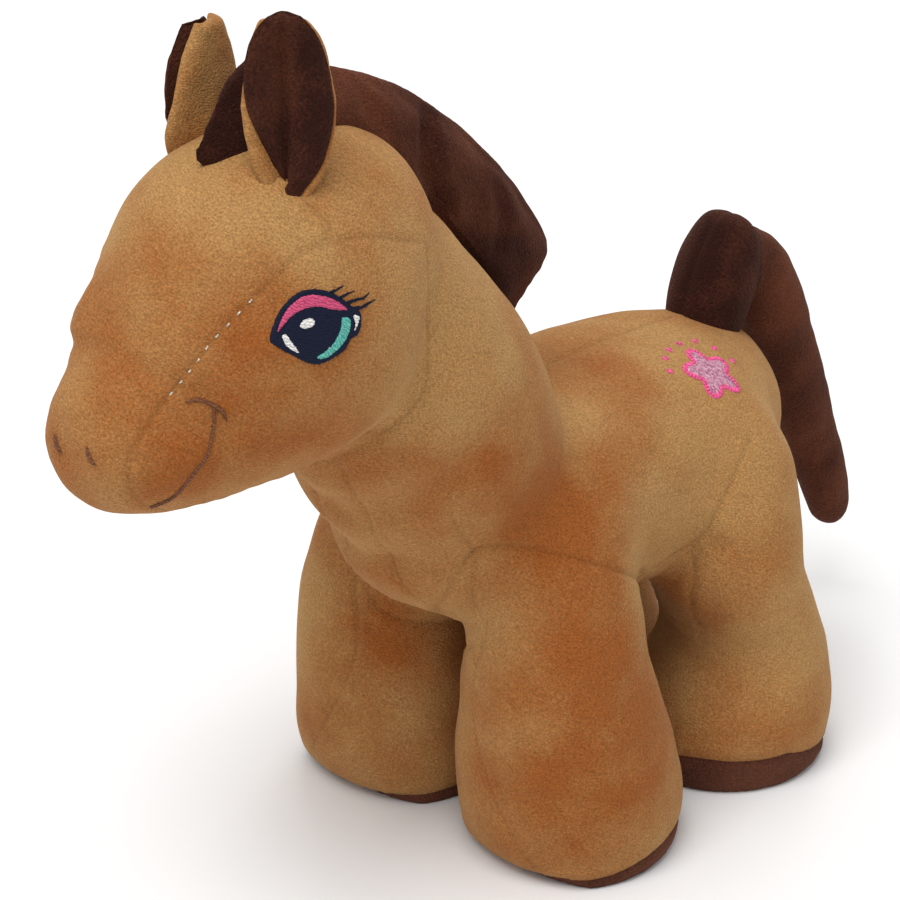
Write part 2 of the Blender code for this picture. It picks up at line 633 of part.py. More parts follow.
def build_mane(joint):
    """The stuffed fin, sewn along the forehead and the nape."""

    hinge, limits = Vector((0, *NECK_HINGE)), (-NECK_NOD, NECK_NOD)
    whole = cut(MANE.solid("whole"), HEAD.solid("head_cut", GAP))
    cut(whole, body_and_neck(GAP))
    clear_of(whole, lambda: cut(body_and_neck(GAP), neck_region()), hinge, "X", limits)
    fill = common(copy_of(whole, "fill"), MANE.solid("inside", -SKIN - GAP))
    node(fill, "mane_stuffing", STUFFING, joint)
    shell = cut(whole, MANE.solid("inside", -SKIN))
    for sign, side in ((1, "left"), (-1, "right")):
        edges = sorted((sign * GAP / 2, sign * FAR))
        half = box("half", (edges[0], -FAR, -FAR), (edges[1], FAR, FAR))
        node(common(copy_of(shell, side), half), f"mane_{side}", DARK_PLUSH, joint)
    discard(shell)


def ear_layer(name, width, height, near, far):
    """One cupped, leaf-shaped layer between two distances ahead of the ear's middle surface."""
    points, faces = [], []
    for depth in (near, far):
        for i in range(EAR_STEPS + 1):
            t = i / EAR_STEPS
            half = width / 2 * smooth(EAR_WIDTH_SHARES, t)
            for k in range(EAR_ACROSS + 1):
                u = 2 * k / EAR_ACROSS - 1
                rise = height * t * (1 + EAR_TIP_SHARE * (1 - u * u))
                points.append((half * u, -EAR_CUP * u * u * (1 - t / 2) - depth, rise))
    across, sheet = EAR_ACROSS + 1, (EAR_ACROSS + 1) * (EAR_STEPS + 1)
    for i in range(EAR_STEPS):
        for k in range(EAR_ACROSS):
            corner = i * across + k
            quad = (corner, corner + 1, corner + across + 1, corner + across)
            faces += [quad, tuple(sheet + p for p in reversed(quad))]
    rim = [k for k in range(across)] + [i * across + EAR_ACROSS for i in range(1, EAR_STEPS + 1)]
    rim += [EAR_STEPS * across + k for k in range(EAR_ACROSS - 1, -1, -1)]
    rim += [i * across for i in range(EAR_STEPS - 1, 0, -1)]
    for a, b in zip(rim, rim[1:] + rim[:1]):
        faces.append((a, b, sheet + b, sheet + a))
    return make_object(name, points, faces)


def build_ear(side, sign, place, away, lean, neck):
    root = Vector((sign * place[0], *place[1:]))
    turn = Matrix.Rotation(math.radians(sign * away), 4, "Z")
    stand = Matrix.Translation(root) @ turn @ Matrix.Rotation(math.radians(-lean), 4, "X")
    axis = turn @ Vector((1, 0, 0))
    joint = joint_at(f"{side}_ear_fold", root, neck)
    limits = (-EAR_FOLD_IN, EAR_FOLD_OUT)
    near, far = GAP / 2, GAP / 2 + EAR_LAYER
    layers = (
        ("ear_back", EAR_WIDTH, EAR_HEIGHT, -far, -near, PLUSH),
        ("ear_lining", EAR_WIDTH - 2 * EAR_RIM, EAR_HEIGHT - EAR_RIM, near, far, DARK_PLUSH),
    )
    for name, width, length, near, far, material in layers:
        layer = ear_layer(name, width, length, near, far)
        layer.data.transform(stand)
        clear_of(layer, lambda: HEAD.solid("head_cut", GAP), root, axis, limits)
        clear_of(layer, lambda: MANE.solid("mane_cut", GAP), root, axis, limits)
        node(layer, f"{name}_{side}", material, joint)


def tail_piece(name, form, neighbour, joint, hinge, limits):
    whole = clear_of(form.solid("whole"), neighbour, hinge, "X", limits)
    fill = common(copy_of(whole, "fill"), form.solid("inside", -SKIN - GAP))
    node(fill, f"{name}_stuffing", STUFFING, joint)
    node(cut(whole, form.solid("inside", -SKIN)), f"{name}_skin", DARK_PLUSH, joint)


def build_tail(root):
    low, top = Vector((0, *TAIL_ROOT_LOW)), Vector((0, *TAIL_ROOT_TOP))
    base = low.lerp(top, TAIL_HINGE_SHARE)
    lift = joint_at("tail_lift", base, root)
    limits = (-TAIL_LIFT_DOWN, TAIL_LIFT_UP)
    tail_piece("tail_root", TAIL_ROOT, lambda: BODY.solid("cut", GAP), lift, base, limits)
    crease = low.lerp(top, TAIL_CREASE_SHARE) + Vector((0, TAIL_ROOT_THICKNESS / 2, 0))
    bend = joint_at("tail_bend", crease, lift)
    limits = (-TAIL_BEND_IN, TAIL_BEND_OUT)
    tail_piece("tail_drop", TAIL_DROP, lambda: TAIL_ROOT.solid("cut", GAP), bend, crease, limits)


def set_middle_over_origin(root):
    """Moves the whole horse along Y, so that the origin lies under the middle of its box."""
    bpy.context.view_layer.update()
    reach = [(o.matrix_world @ v.co).y for o in bpy.data.objects if o.type == "MESH" for v in o.data.vertices]
    root.location.y = -(min(reach) + max(reach)) / 2
    bpy.context.view_layer.update()


def main():
    for old in list(bpy.data.objects):
        bpy.data.objects.remove(old)
    root = joint_at("horse", (0, 0, 0))
    build_body(root)
    build_legs(root)
    neck = joint_at("neck_nod", (0, *NECK_HINGE), root)
    build_neck(neck)
    build_head(neck)
    build_face(neck)
    build_mane(neck)
    for side, sign, *ear in zip(("left", "right"), (1, -1), EAR_ROOT, EAR_TURN, EAR_LEAN):
        build_ear(side, sign, *ear, neck)
    build_tail(root)
    build_motif(root)
    set_middle_over_origin(root)
    for joint in [o for o in bpy.data.objects if o.type == "EMPTY"]:
        print(joint.name, [round(c, 5) for c in joint.matrix_world.translation])


main()
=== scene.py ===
# %% [markdown]
# A stuffed plush horse.
#
# The toy is a bag of short-pile plush, filled with polyester fibre, with a dark mane, tail, ear
# linings and soles, and a face in machine embroidery. The imported CAD model gives its bodies and
# joints. This script dresses that model: it makes the cloth skins and sews their seams in. The
# pieces of the trunk and the head ride on their bodies, and the others stay where they are made.

import math

import bmesh
import bpy
import numpy as np
from mathutils import Matrix, Vector
from mathutils.bvhtree import BVHTree
from mathutils.geometry import delaunay_2d_cdt
from mathutils.kdtree import KDTree


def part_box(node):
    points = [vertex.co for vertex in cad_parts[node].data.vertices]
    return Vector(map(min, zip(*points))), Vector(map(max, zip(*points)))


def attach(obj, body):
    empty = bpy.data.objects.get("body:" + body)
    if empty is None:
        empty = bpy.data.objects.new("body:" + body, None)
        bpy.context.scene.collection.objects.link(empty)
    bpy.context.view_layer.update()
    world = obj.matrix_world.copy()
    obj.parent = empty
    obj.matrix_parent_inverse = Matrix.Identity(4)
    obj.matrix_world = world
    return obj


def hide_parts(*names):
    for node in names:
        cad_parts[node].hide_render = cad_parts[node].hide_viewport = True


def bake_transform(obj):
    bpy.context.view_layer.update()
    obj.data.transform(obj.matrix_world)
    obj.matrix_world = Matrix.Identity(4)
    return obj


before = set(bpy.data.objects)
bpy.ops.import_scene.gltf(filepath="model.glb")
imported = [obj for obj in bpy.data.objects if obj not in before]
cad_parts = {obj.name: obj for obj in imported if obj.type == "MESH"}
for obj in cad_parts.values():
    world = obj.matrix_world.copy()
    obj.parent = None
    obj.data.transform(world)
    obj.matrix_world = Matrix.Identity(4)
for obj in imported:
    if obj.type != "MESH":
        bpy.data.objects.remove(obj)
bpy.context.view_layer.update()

# %% [markdown]
# The maker's tape starts at the middle of the front legs.
#
# Every size below is in millimetres: off the middle of the horse, back from the front legs, and
# up from the floor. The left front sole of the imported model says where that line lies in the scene,
# so the looks stay on the model if it is packed again.

# %% Measure from the front legs
MM = 0.001
sole_low, sole_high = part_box("front_left_sole")
LEG_LINE = (sole_low.y + sole_high.y) / 2


def at(x, y, z):
    """The place x off the middle, y back from the front legs and z up, all in mm."""
    return Vector((x * MM, LEG_LINE + y * MM, z * MM))


def places(points):
    return np.array([at(*p) for p in points])


def in_mm(points):
    """Places of the scene as the maker's millimetres."""
    return (np.asarray(points) - (0, LEG_LINE, 0)) / MM


print("front legs at y =", round(LEG_LINE, 5))

# %% [markdown]
# The camera stands ahead of the horse, on its left, and looks down a little.
#
# A long lens from under a metre away gives the flat look of a shop picture. A point of that
# picture can also be followed back along its line of sight until it meets the cloth, which is how
# the embroidery finds its place later on.

# %% Set up the camera
LENS = 126.0
SENSOR = 36.0
PICTURE = 900
AWAY = 0.9
AIM = (0, -16, 122)
TURN, RISE = math.radians(43.1), math.radians(25.5)
towards_camera = Vector(
    (math.sin(TURN) * math.cos(RISE), -math.cos(TURN) * math.cos(RISE), math.sin(RISE))
)
camera_data = bpy.data.cameras.new("camera")
camera_data.lens, camera_data.sensor_width = LENS, SENSOR
camera = bpy.data.objects.new("camera", camera_data)
camera.location = at(*AIM) + towards_camera * AWAY
camera.rotation_mode = "QUATERNION"
camera.rotation_quaternion = (-towards_camera).to_track_quat("-Z", "Y")
bpy.context.scene.collection.objects.link(camera)
bpy.context.scene.camera = camera


def sight(u, v):
    """The direction of the line of sight through a spot of the picture."""
    scale = SENSOR / PICTURE
    out = Vector(((u - PICTURE / 2) * scale, (PICTURE / 2 - v) * scale, -LENS))
    return (camera.rotation_quaternion @ out).normalized()


def seen_at(u, v, x=0.0):
    """Where the line of sight meets the upright plane x mm off the middle."""
    way = sight(u, v)
    return camera.location + way * ((x * MM - camera.location.x) / way.x)


print("camera at", [round(c, 3) for c in camera.location])

# %% [markdown]
# Stuffed forms.
#
# A pattern maker thinks of a toy as swollen tubes: a spine, and a width and a depth along it.
# Rings of ellipses along a smooth spine give just that, with domed ends. They are only the
# wooden last that the cloth is pulled over, so they may pass through each other.

# %% Smooth runs of values, and tubes along a spine
def along(values, t):
    """Values at shares t, from 0 to 1, of a smooth curve through evenly spaced values."""
    values = np.asarray(values, float)
    last = len(values) - 1
    place = np.clip(t, 0, 1) * last
    i = np.minimum(place.astype(int), last - 1)
    f = place - i
    if values.ndim > 1:
        f = f[:, None]
    before, start, end, after = (values[np.clip(i + k, 0, last)] for k in (-1, 0, 1, 2))
    cubic = 3 * (start - end) + after - before
    square = 2 * before - 5 * start + 4 * end - after
    return start + f / 2 * (end - before + f * (square + f * cubic))


def paced(line, step, least=8, ends=False):
    """A run of close points as a run in even steps, with its last point only if ends is set."""
    run = np.concatenate(([0], np.cumsum(np.linalg.norm(np.diff(line, axis=0), axis=1))))
    even = np.linspace(0, run[-1], max(int(run[-1] / step), least), endpoint=ends)
    return np.stack([np.interp(even, run, column) for column in line.T], 1)


def tube(spine, width, widths, depth, depths, blunt=(0.7, 0.7), level=False, sides=56, rings=44):
    """Points and faces of a closed stuffed form, sizes in mm."""
    spine = places(spine)
    turn = np.pi * np.arange(1, rings) / rings
    t = (1 - np.cos(turn)) / 2
    middle = along(spine, t)
    ahead = along(spine, t + 0.004) - along(spine, t - 0.004)
    ahead /= np.linalg.norm(ahead, axis=1)[:, None]
    x_axis = np.array([1.0, 0, 0])
    across = np.cross(x_axis, ahead)
    if level:
        across = np.tile((0, -1.0, 0), (len(t), 1))
    dome = np.sin(turn) ** np.where(t > 0.5, blunt[1], blunt[0])
    side = width * MM / 2 * along(widths, t) * dome
    up = depth * MM / 2 * along(depths, t) * dome
    a = math.tau * (np.arange(sides) + 0.5) / sides
    rim = middle[:, None] + (side[:, None] * np.cos(a))[..., None] * x_axis
    rim = rim + (up[:, None] * np.sin(a))[..., None] * across[:, None]
    points = np.vstack((rim.reshape(-1, 3), spine[:1], spine[-1:]))
    first = len(points) - 2
    faces = []
    for k in range(sides):
        n = (k + 1) % sides
        faces += [(first, k, n), (first + 1, first - sides + n, first - sides + k)]
        for ring in range(rings - 2):
            low = ring * sides
            faces.append((low + k, low + sides + k, low + sides + n, low + n))
    return points, faces


# %% [markdown]
# Body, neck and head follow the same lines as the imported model.
#
# The chest is full, the belly hangs level, and the neck rises forward into a large round head that
# narrows to a soft muzzle. Each leg is a fat tube that widens to its foot.

# %% Shape the trunk, the head and the left legs
body = tube(
    [(0, y - 49, 99 + rise) for y, rise in zip(np.linspace(0, 169, 6), (10.8, 4.6, 0, 0, 0, 1.5))],
    92, (0.86, 0.98, 0.99, 0.97, 0.96, 0.8), 77, (0.9, 0.98, 0.97, 0.96, 1.0, 0.96),
)
neck = tube(
    [(0, -7, 110), (0, -25.9, 130.5), (0, -39.7, 154), (0, -53.4, 177.5), (0, -62, 204)],
    79, (1.08, 1.07, 1.03, 1.0, 0.96), 77, (1.18, 1.03, 0.95, 0.93, 0.98), (0.5, 0.5),
)
head = tube(
    [(0, -42, 198), (0, -64, 198), (0, -87, 190.8), (0, -110, 179.2), (0, -132, 169.7), (0, -155, 165)],
    85, (0.92, 1.0, 1.0, 0.84, 0.66, 0.62), 92, (0.92, 1.0, 1.025, 0.88, 0.68, 0.54),
)


LEG_MIDDLE, LEG_WIDTH = 33.9, 66.4
REAR_LEGS = 71.7
BELOW_FLOOR = 8  # the last runs on below the floor, which later presses the sole flat


def leg(y, widths, leans, depth, depths, slopes, top):
    """A left leg whose widths, leans, depths and slopes are shares of its width and its depth."""
    spine = [
        (LEG_MIDDLE + LEG_WIDTH * lean, y + depth * slope, top - (top + BELOW_FLOOR) * i / 5)
        for i, (lean, slope) in enumerate(zip(leans, slopes))
    ]
    return tube(spine, LEG_WIDTH, widths, depth, depths, (0.55, 0.12), level=True)


front_leg = leg(
    0, (0.6, 0.74, 0.82, 0.93, 1.01, 1.0), (0, 0, -0.01, 0, 0, 0),
    69, (0.66, 0.71, 0.78, 0.9, 1.01, 1.0), (-0.03, -0.07, -0.1, -0.05, 0, 0), 113,
)
rear_leg = leg(
    REAR_LEGS, (0.6, 0.76, 0.81, 0.83, 1.01, 1.0), (0, 0.02, 0.02, 0.04, 0, 0),
    67, (0.8, 0.76, 0.71, 0.68, 1.01, 1.0), (-0.04, -0.06, -0.07, 0.07, 0.03, 0.02), 118,
)
print("forms:", sum(len(points) for points, _ in (body, neck, head, front_leg, rear_leg)), "points")

# %% [markdown]
# One skin over all forms.
#
# A real skin is one bag of panels. A voxel remesh of the joined forms gives one closed surface
# with even squares, good for cloth and for smoothing. Only the left half is made, because the left
# and right legs nearly touch and would grow together, and the half is mirrored afterwards.

# %% Wrap one even skin round several forms
def link(name, mesh):
    made = bpy.data.objects.new(name, mesh)
    bpy.context.scene.collection.objects.link(made)
    return made


def mesh_of(name, points, faces):
    mesh = bpy.data.meshes.new(name)
    mesh.from_pydata(np.asarray(points).tolist(), [], faces)
    return mesh


def settled(piece):
    """Applies the piece's modifiers."""
    graph = bpy.context.evaluated_depsgraph_get()
    mesh = bpy.data.meshes.new_from_object(piece.evaluated_get(graph))
    piece.modifiers.clear()
    old, piece.data = piece.data, mesh
    bpy.data.meshes.remove(old)
    return piece


def outward(piece, merge=0.0):
    """Turns all faces of the piece outwards, after joining points closer than merge, in mm."""
    shape = bmesh.new()
    shape.from_mesh(piece.data)
    if merge:
        bmesh.ops.remove_doubles(shape, verts=shape.verts, dist=merge * MM)
    bmesh.ops.recalc_face_normals(shape, faces=shape.faces)
    shape.to_mesh(piece.data)
    shape.free()


def wrapped(name, forms, voxel):
    """One skin of even squares, voxel mm wide, round several closed forms."""
    points, faces, start = [], [], 0
    for form_points, form_faces in forms:
        points.append(form_points)
        faces += [tuple(start + i for i in face) for face in form_faces]
        start += len(form_points)
    skin = link(name, mesh_of(name, np.vstack(points), faces))
    outward(skin)
    weave = skin.modifiers.new("even weave", "REMESH")
    weave.mode, weave.voxel_size = "VOXEL", voxel * MM
    return settled(skin)


def finer(piece):
    """Subdivides the piece once."""
    weave = piece.modifiers.new("finer weave", "SUBSURF")
    weave.levels = weave.render_levels = 1
    return settled(piece)


def discard(piece):
    mesh = piece.data
    bpy.data.objects.remove(piece)
    bpy.data.meshes.remove(mesh)


def points_of(piece):
    flat = np.empty(len(piece.data.vertices) * 3)
    piece.data.vertices.foreach_get("co", flat)
    return flat.reshape(-1, 3)


def put_points(piece, points):
    piece.data.vertices.foreach_set("co", np.ascontiguousarray(points).ravel())
    piece.data.update()


def edges_of(piece):
    flat = np.empty(len(piece.data.edges) * 2, int)
    piece.data.edges.foreach_get("vertices", flat)
    return flat.reshape(-1, 2)


def normals_of(piece):
    flat = np.empty(len(piece.data.vertices) * 3)
    piece.data.vertex_normals.foreach_get("vector", flat)
    return flat.reshape(-1, 3)


half = wrapped("half skin", [body, neck, head, front_leg, rear_leg], 2.3)
print("half skin:", len(half.data.vertices), "points")

# %% [markdown]
# Plush rounds every hollow.
#
# Where two forms meet, the cloth bridges the corner. Each point moves towards the middle of its
# neighbours, then partly back, so that the skin loses its corners and keeps its size. The shoulders
# and the haunches, where a leg runs into the flank in one piece of cloth, are eased much more. The
# lower rim of each foot is rounded as well, most at the toes of the front feet.

# %% Ease the skin over its corners
def eased(points, edges, times, weight=1.0, back=0.0):
    """Points moved towards their neighbours, by a weight for each, and back by a share."""
    near, far = edges[:, 0], edges[:, 1]
    count = np.bincount(edges.ravel(), minlength=len(points))[:, None]
    for _ in range(times):
        for pull in (0.5, -back) if back else (0.5,):
            total = np.zeros_like(points)
            for k in range(3):
                total[:, k] = np.bincount(near, points[far, k], len(points))
                total[:, k] += np.bincount(far, points[near, k], len(points))
            points = points + (total / count - points) * pull * weight
    return points


def fades(distance, reach):
    """1 at no distance, falling smoothly to 0 at reach and beyond."""
    t = np.clip(1 - distance / reach, 0, 1)
    return t * t * (3 - 2 * t)


def bell(distance, width):
    """1 at no distance, falling off on both sides as a bell does."""
    return np.exp(-((distance / width) ** 2))


def raised(points, normals, push):
    """Points moved out along their normals, by push in mm."""
    return points + normals * (push * MM)[:, None]


PAIRS_PART = 36  # the front legs lie ahead of this place, the rear legs behind it
REAR_FEET = 73
SOLE_ROUND, TOE_ROUND = 4, 15


def foot_frame(points):
    """The way from the middle of a foot to each point, and how far that is in mm."""
    x, y, z = in_mm(points).T
    away = np.column_stack((np.abs(x) - LEG_MIDDLE, y - np.where(y < PAIRS_PART, 0, REAR_FEET)))
    far = np.linalg.norm(away, axis=1)
    return away / np.maximum(far, 1e-9)[:, None], far


def toed_in(points):
    """Rounds the lower rim of each foot, most at the toes of the front feet."""
    way, far = foot_frame(points)
    x, y, z = in_mm(points).T
    toe = np.clip((-0.6 - way[:, 1]) / 0.4, 0, 1)
    reach = np.where(y < PAIRS_PART, SOLE_ROUND + TOE_ROUND * toe, SOLE_ROUND)
    low = np.clip(1 - z / reach, 0, 1)
    draw = reach * 0.6 * (1 - np.sqrt(np.clip(1 - low ** 2, 0, 1))) * np.clip(far / 30, 0, 1) ** 3
    points = points.copy()
    way[:, 0] *= np.where(x < 0, -1, 1)
    points[:, :2] -= way * (draw * MM)[:, None]
    return points


points, edges = points_of(half), edges_of(half)
points = eased(points, edges, 6, back=0.52)
x, y, z = in_mm(points).T
shoulder = fades(np.abs(z - 103) - 14, 14) * fades(22 - x, 12) * fades(np.abs(y) - 34, 14)
haunch = fades(np.abs(z - 104) - 18, 16) * fades(20 - x, 12) * fades(np.abs(y - 74) - 36, 14)
points = eased(points, edges, 40, np.maximum(shoulder, haunch)[:, None])
crotch = fades(np.abs(z - 66) - 8, 14) * fades(x - 24, 14)
points = eased(points, edges, 8, crotch[:, None])
points = toed_in(points)
put_points(half, points)
counts = [int((share > 0.5).sum()) for share in (shoulder, haunch)]
print("eased:", counts[0], "shoulder points,", counts[1], "haunch points")

# %% [markdown]
# The seams are drawn on the skin as chalk lines.
#
# A list of places gives each seam. The line is laid on the cloth and cut into short steps, and a
# nearest-point tree then tells, for each point of the skin, how far it is from a seam and how far
# along the seam it lies. Everything that a seam does to the cloth comes from those two numbers.

# %% Lay the seam lines on the left of the skin
SEAMS = {  # depth of the groove in mm, then the line
    "forehead": (0.9, [(24, -96, 227), (31, -93, 221), (32, -98, 218), (31, -104, 216), (29, -112, 211),
                       (27, -118, 206), (24, -125, 200), (21, -131, 193), (19, -136, 187), (17, -142, 180),
                       (15, -148, 172), (15, -149, 163), (14, -143, 154), (12, -134, 148)]),
    "cheek top": (0.7, [(31, -100, 217), (34, -84, 216), (35, -72, 212), (33, -61, 208)]),
    "neck": (0.8, [(33, -61, 208), (35, -61, 195), (34, -61, 180), (34, -62, 168), (31, -65, 161),
                   (25, -69, 154), (16, -72, 146), (8, -73, 140), (0, -73, 137)]),
    "jaw": (0.9, [(31, -65, 161), (28, -72, 154), (25, -80, 149), (23, -92, 146), (21, -104, 145),
                  (18, -118, 145), (14, -129, 147), (12, -134, 148)]),
    "chest": (0.9, [(10, -73, 141), (11, -70, 136), (11, -66, 128), (10, -60, 118), (9, -54, 108),
                    (10, -49, 98), (13, -44, 88), (16, -38, 76), (17, -28, 68)]),
    "chest dart": (0.8, [(31, -49, 125), (30, -44, 116), (28, -37, 108)]),
    "front leg top": (1.3, [(8, -30, 72), (14, -35, 88), (21, -36, 100), (28, -36, 108), (33, -28, 107),
                            (41, -18, 104), (49, -10, 101), (54, -1, 97), (52, 12, 89), (46, 22, 82),
                            (34, 27, 75)]),
    "front leg front": (0.7, [(28, -36, 108), (27, -35, 92), (25, -33, 75), (23, -31, 60), (26, -32, 46),
                              (33, -33, 30), (41, -33, 16), (46, -31, 5)]),
    "flank": (0.9, [(40, 70, 111), (43, 60, 104), (44, 51, 95), (43, 45, 86), (40, 34, 80), (38, 24, 79),
                    (42, 12, 84), (48, 5, 91), (54, -1, 97)]),
    "rear leg front": (0.8, [(43, 45, 86), (43, 42, 74), (42, 40, 60), (41, 39, 45), (40, 38, 25),
                             (39, 39, 9)]),
    "rear leg back": (0.7, [(20, 116, 100), (30, 108, 88), (36, 105, 60), (36, 105, 30), (36, 104, 9)]),
    "front leg back": (0.7, [(40, 28, 78), (38, 33, 60), (38, 34, 30), (38, 33, 9)]),
    "belly": (0.8, [(17, -28, 68), (17, -10, 62), (17, 10, 61), (17, 36, 60), (17, 60, 60), (17, 90, 64),
                    (12, 112, 76), (4, 119, 92)]),
}
MIDDLE_SEAMS = {  # those that run along the middle of the horse
    "back": (0.7, [(0, 18, 146), (0, 40, 139), (0, 60, 138), (0, 84, 138)]),
    "under the tail": (0.7, [(0, 112, 128), (0, 119, 112), (0, 120, 96), (0, 117, 84)]),
}
STEP = 0.4  # mm between two places of a laid seam


def surface_of(piece):
    """A search tree over the piece's faces."""
    faces = [tuple(face.vertices) for face in piece.data.polygons]
    return BVHTree.FromPolygons([v.co for v in piece.data.vertices], faces)


def laid(line, cloth):
    """The line through places, in short even steps, each moved onto the cloth."""
    line = np.asarray(line, float)
    rough = along(line, np.linspace(0, 1, 40 * len(line)))
    return np.array([cloth.find_nearest(Vector(p))[0] for p in paced(rough, STEP * MM, 4, ends=True)])


cloth = surface_of(half)
chalk = {name: laid(places(line), cloth) for name, (_, line) in {**SEAMS, **MIDDLE_SEAMS}.items()}
print("seams:", len(chalk), "with", sum(len(line) for line in chalk.values()), "steps")

# %% [markdown]
# Stuffing pushes the panels out between their seams.
#
# Blender's cloth does what the fibre does: the seams are pinned, air pressure swells the panels
# between them, and fourteen steps are enough. The move is capped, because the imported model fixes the
# size of the toy.

# %% Blow the panels up with a cloth simulation
PRESSURE = {"skin": 8000.0, "mane": 6000.0, "tail": 5000.0}
MOST_SWELL = {"skin": 2.6, "mane": 1.6, "tail": 1.0}  # in mm
PIN_LEVELS = (0.35, 0.7, 1.0)


def tree_of(points):
    tree = KDTree(len(points))
    for i, p in enumerate(points):
        tree.insert(p, i)
    tree.balance()
    return tree


def swollen(piece, held, kind, steps=14):
    """Stuffs the piece as its kind asks. Held is 1 where a seam pins it, and 0 where nothing does.

    The middling swell is then taken back, least at the seams, so that the toy keeps its size.
    """
    rest = points_of(piece)
    pins = piece.vertex_groups.new(name="sewn")
    for level in PIN_LEVELS:
        chosen = np.where(held >= level - PIN_LEVELS[0] / 2)[0].tolist()
        pins.add(chosen, level, "REPLACE")
    sheet = piece.modifiers.new("stuffing", "CLOTH")
    sheet.settings.quality = 4
    sheet.settings.mass = 0.002
    sheet.settings.tension_stiffness = sheet.settings.compression_stiffness = 15
    sheet.settings.shear_stiffness = 7.5
    sheet.settings.bending_stiffness = 0.05
    sheet.settings.vertex_group_mass = "sewn"
    sheet.settings.use_pressure = True
    sheet.settings.uniform_pressure_force = PRESSURE[kind]
    sheet.settings.effector_weights.gravity = 0
    sheet.collision_settings.use_collision = False
    sheet.point_cache.frame_start, sheet.point_cache.frame_end = 1, steps
    for step in range(1, steps + 1):
        bpy.context.scene.frame_set(step)
    settled(piece)
    bpy.context.scene.frame_set(1)
    move = points_of(piece) - rest
    far = np.linalg.norm(move, axis=1)
    capped = np.minimum(far, MOST_SWELL[kind] * MM)
    move *= (capped / np.maximum(far, 1e-9))[:, None]
    middling = float(np.median(capped))
    put_points(piece, rest)
    back = normals_of(piece) * (middling * np.clip(1.3 - held, 0, 1))[:, None]
    put_points(piece, rest + move - back)
    piece.vertex_groups.clear()
    return middling / MM


pinned = np.vstack(list(chalk.values()))
tree = tree_of(pinned)
points = points_of(half)
held = fades(np.array([tree.find(p)[2] for p in points]) / MM - 1.5, 3.0)
held = np.maximum(held, fades(np.abs(points[:, 0]) / MM - 1.0, 3.0))
held = np.maximum(held, fades(points[:, 2] / MM - 6, 4.0))
moved = swollen(half, held, "skin")
print("panels swelled by", round(moved, 2), "mm in the middle of the range")

# %% [markdown]
# Mirror the half, and make the weave finer.
#
# The half is cut along the middle of the horse, and a copy is turned over and joined to it, so both
# rims meet point for point. One subdivision then gives squares of just over a millimetre, fine
# enough to carry a seam.

# %% Mirror the half and subdivide it
def whole_from(piece, name):
    shape = bmesh.new()
    shape.from_mesh(piece.data)
    every = shape.verts[:] + shape.edges[:] + shape.faces[:]
    middle = {"plane_co": (0, 0, 0), "plane_no": (1, 0, 0)}
    bmesh.ops.bisect_plane(shape, geom=every, dist=0.2 * MM, clear_inner=True, **middle)
    for v in shape.verts:
        if abs(v.co.x) < 0.3 * MM and v.is_boundary:
            v.co.x = 0
    every = shape.verts[:] + shape.edges[:] + shape.faces[:]
    bmesh.ops.mirror(shape, geom=every, merge_dist=0.05 * MM, axis="X")
    bmesh.ops.recalc_face_normals(shape, faces=shape.faces)
    shape.to_mesh(piece.data)
    shape.free()
    piece.name = name
    return finer(piece)


skin = whole_from(half, "skin")
points, edges = points_of(skin), edges_of(skin)
near_middle = fades(np.abs(points[:, 0]) / MM - 2, 6)
points = eased(points, edges, 20, near_middle[:, None])
put_points(skin, points)
loose = sum(e.is_loose for e in skin.data.edges)
print("skin:", len(points), "points,", len(skin.data.polygons), "faces,", loose, "loose edges")

# %% [markdown]
# Dents that the hand and the needle leave.
#
# The muzzle is drawn in across its bridge, the smile ends in a dimple, and the cloth creases where
# the neck sinks between the shoulders. Each is a line with a depth and a width, and the skin is
# pressed in round it. Slow waves of a few tenths of a millimetre keep the stuffing from looking
# machined.

# %% Press in the soft creases
def both_sides(line):
    return [line, [(-x, y, z) for x, y, z in line]]


BRIDGE = (1.0, 4.5, [  # depth and reach in mm, and the line over the muzzle
    (-22, -134, 186), (-14, -139, 190), (-4, -142, 193), (4, -142, 193), (14, -139, 190), (22, -134, 186),
])
CREASES = (  # depth and reach in mm, and the line on the left side; the right side has it too
    (1.6, 9, [(23, -128, 182), (25, -127, 176)]),
    (1.8, 12, [(4, -63, 120), (18, -62, 124), (31, -56, 134), (36, -46, 146)]),
    (1.6, 8, [(46, 46, 84), (42, 40, 74), (34, 38, 66)]),
)
SWELLS = (  # height and reach in mm, and the middle; a height below 0 is a dent
    (-0.8, 20, (0, -156, 172)),
    (4.2, 15, (-21, -137, 194)),
    (1.4, 15, (20, -138, 193)),
    (0.8, 16, (18, -138, 166)),
    (0.8, 16, (-18, -138, 166)),
    (1.2, 30, (38, -92, 172)),
    (1.2, 30, (-38, -92, 172)),
)


def lumps(points, size, seed):
    """Slow waves between about -1 and 1, size mm from crest to crest."""
    draw = np.random.default_rng(seed)
    total = np.zeros(len(points))
    for i in range(9):
        way = draw.normal(size=3)
        way *= math.tau / (size * MM) * draw.uniform(0.6, 1.4) / np.linalg.norm(way)
        total += np.sin(points @ way + draw.uniform(0, math.tau))
    return total / 3


def from_line(points, line):
    """How far each point is from a line through places, in mm."""
    nearest = np.full(len(points), np.inf)
    for a, b in zip(line, line[1:]):
        run = b - a
        t = np.clip((points - a) @ run / (run @ run), 0, 1)
        nearest = np.minimum(nearest, np.linalg.norm(points - a - t[:, None] * run, axis=1))
    return nearest / MM


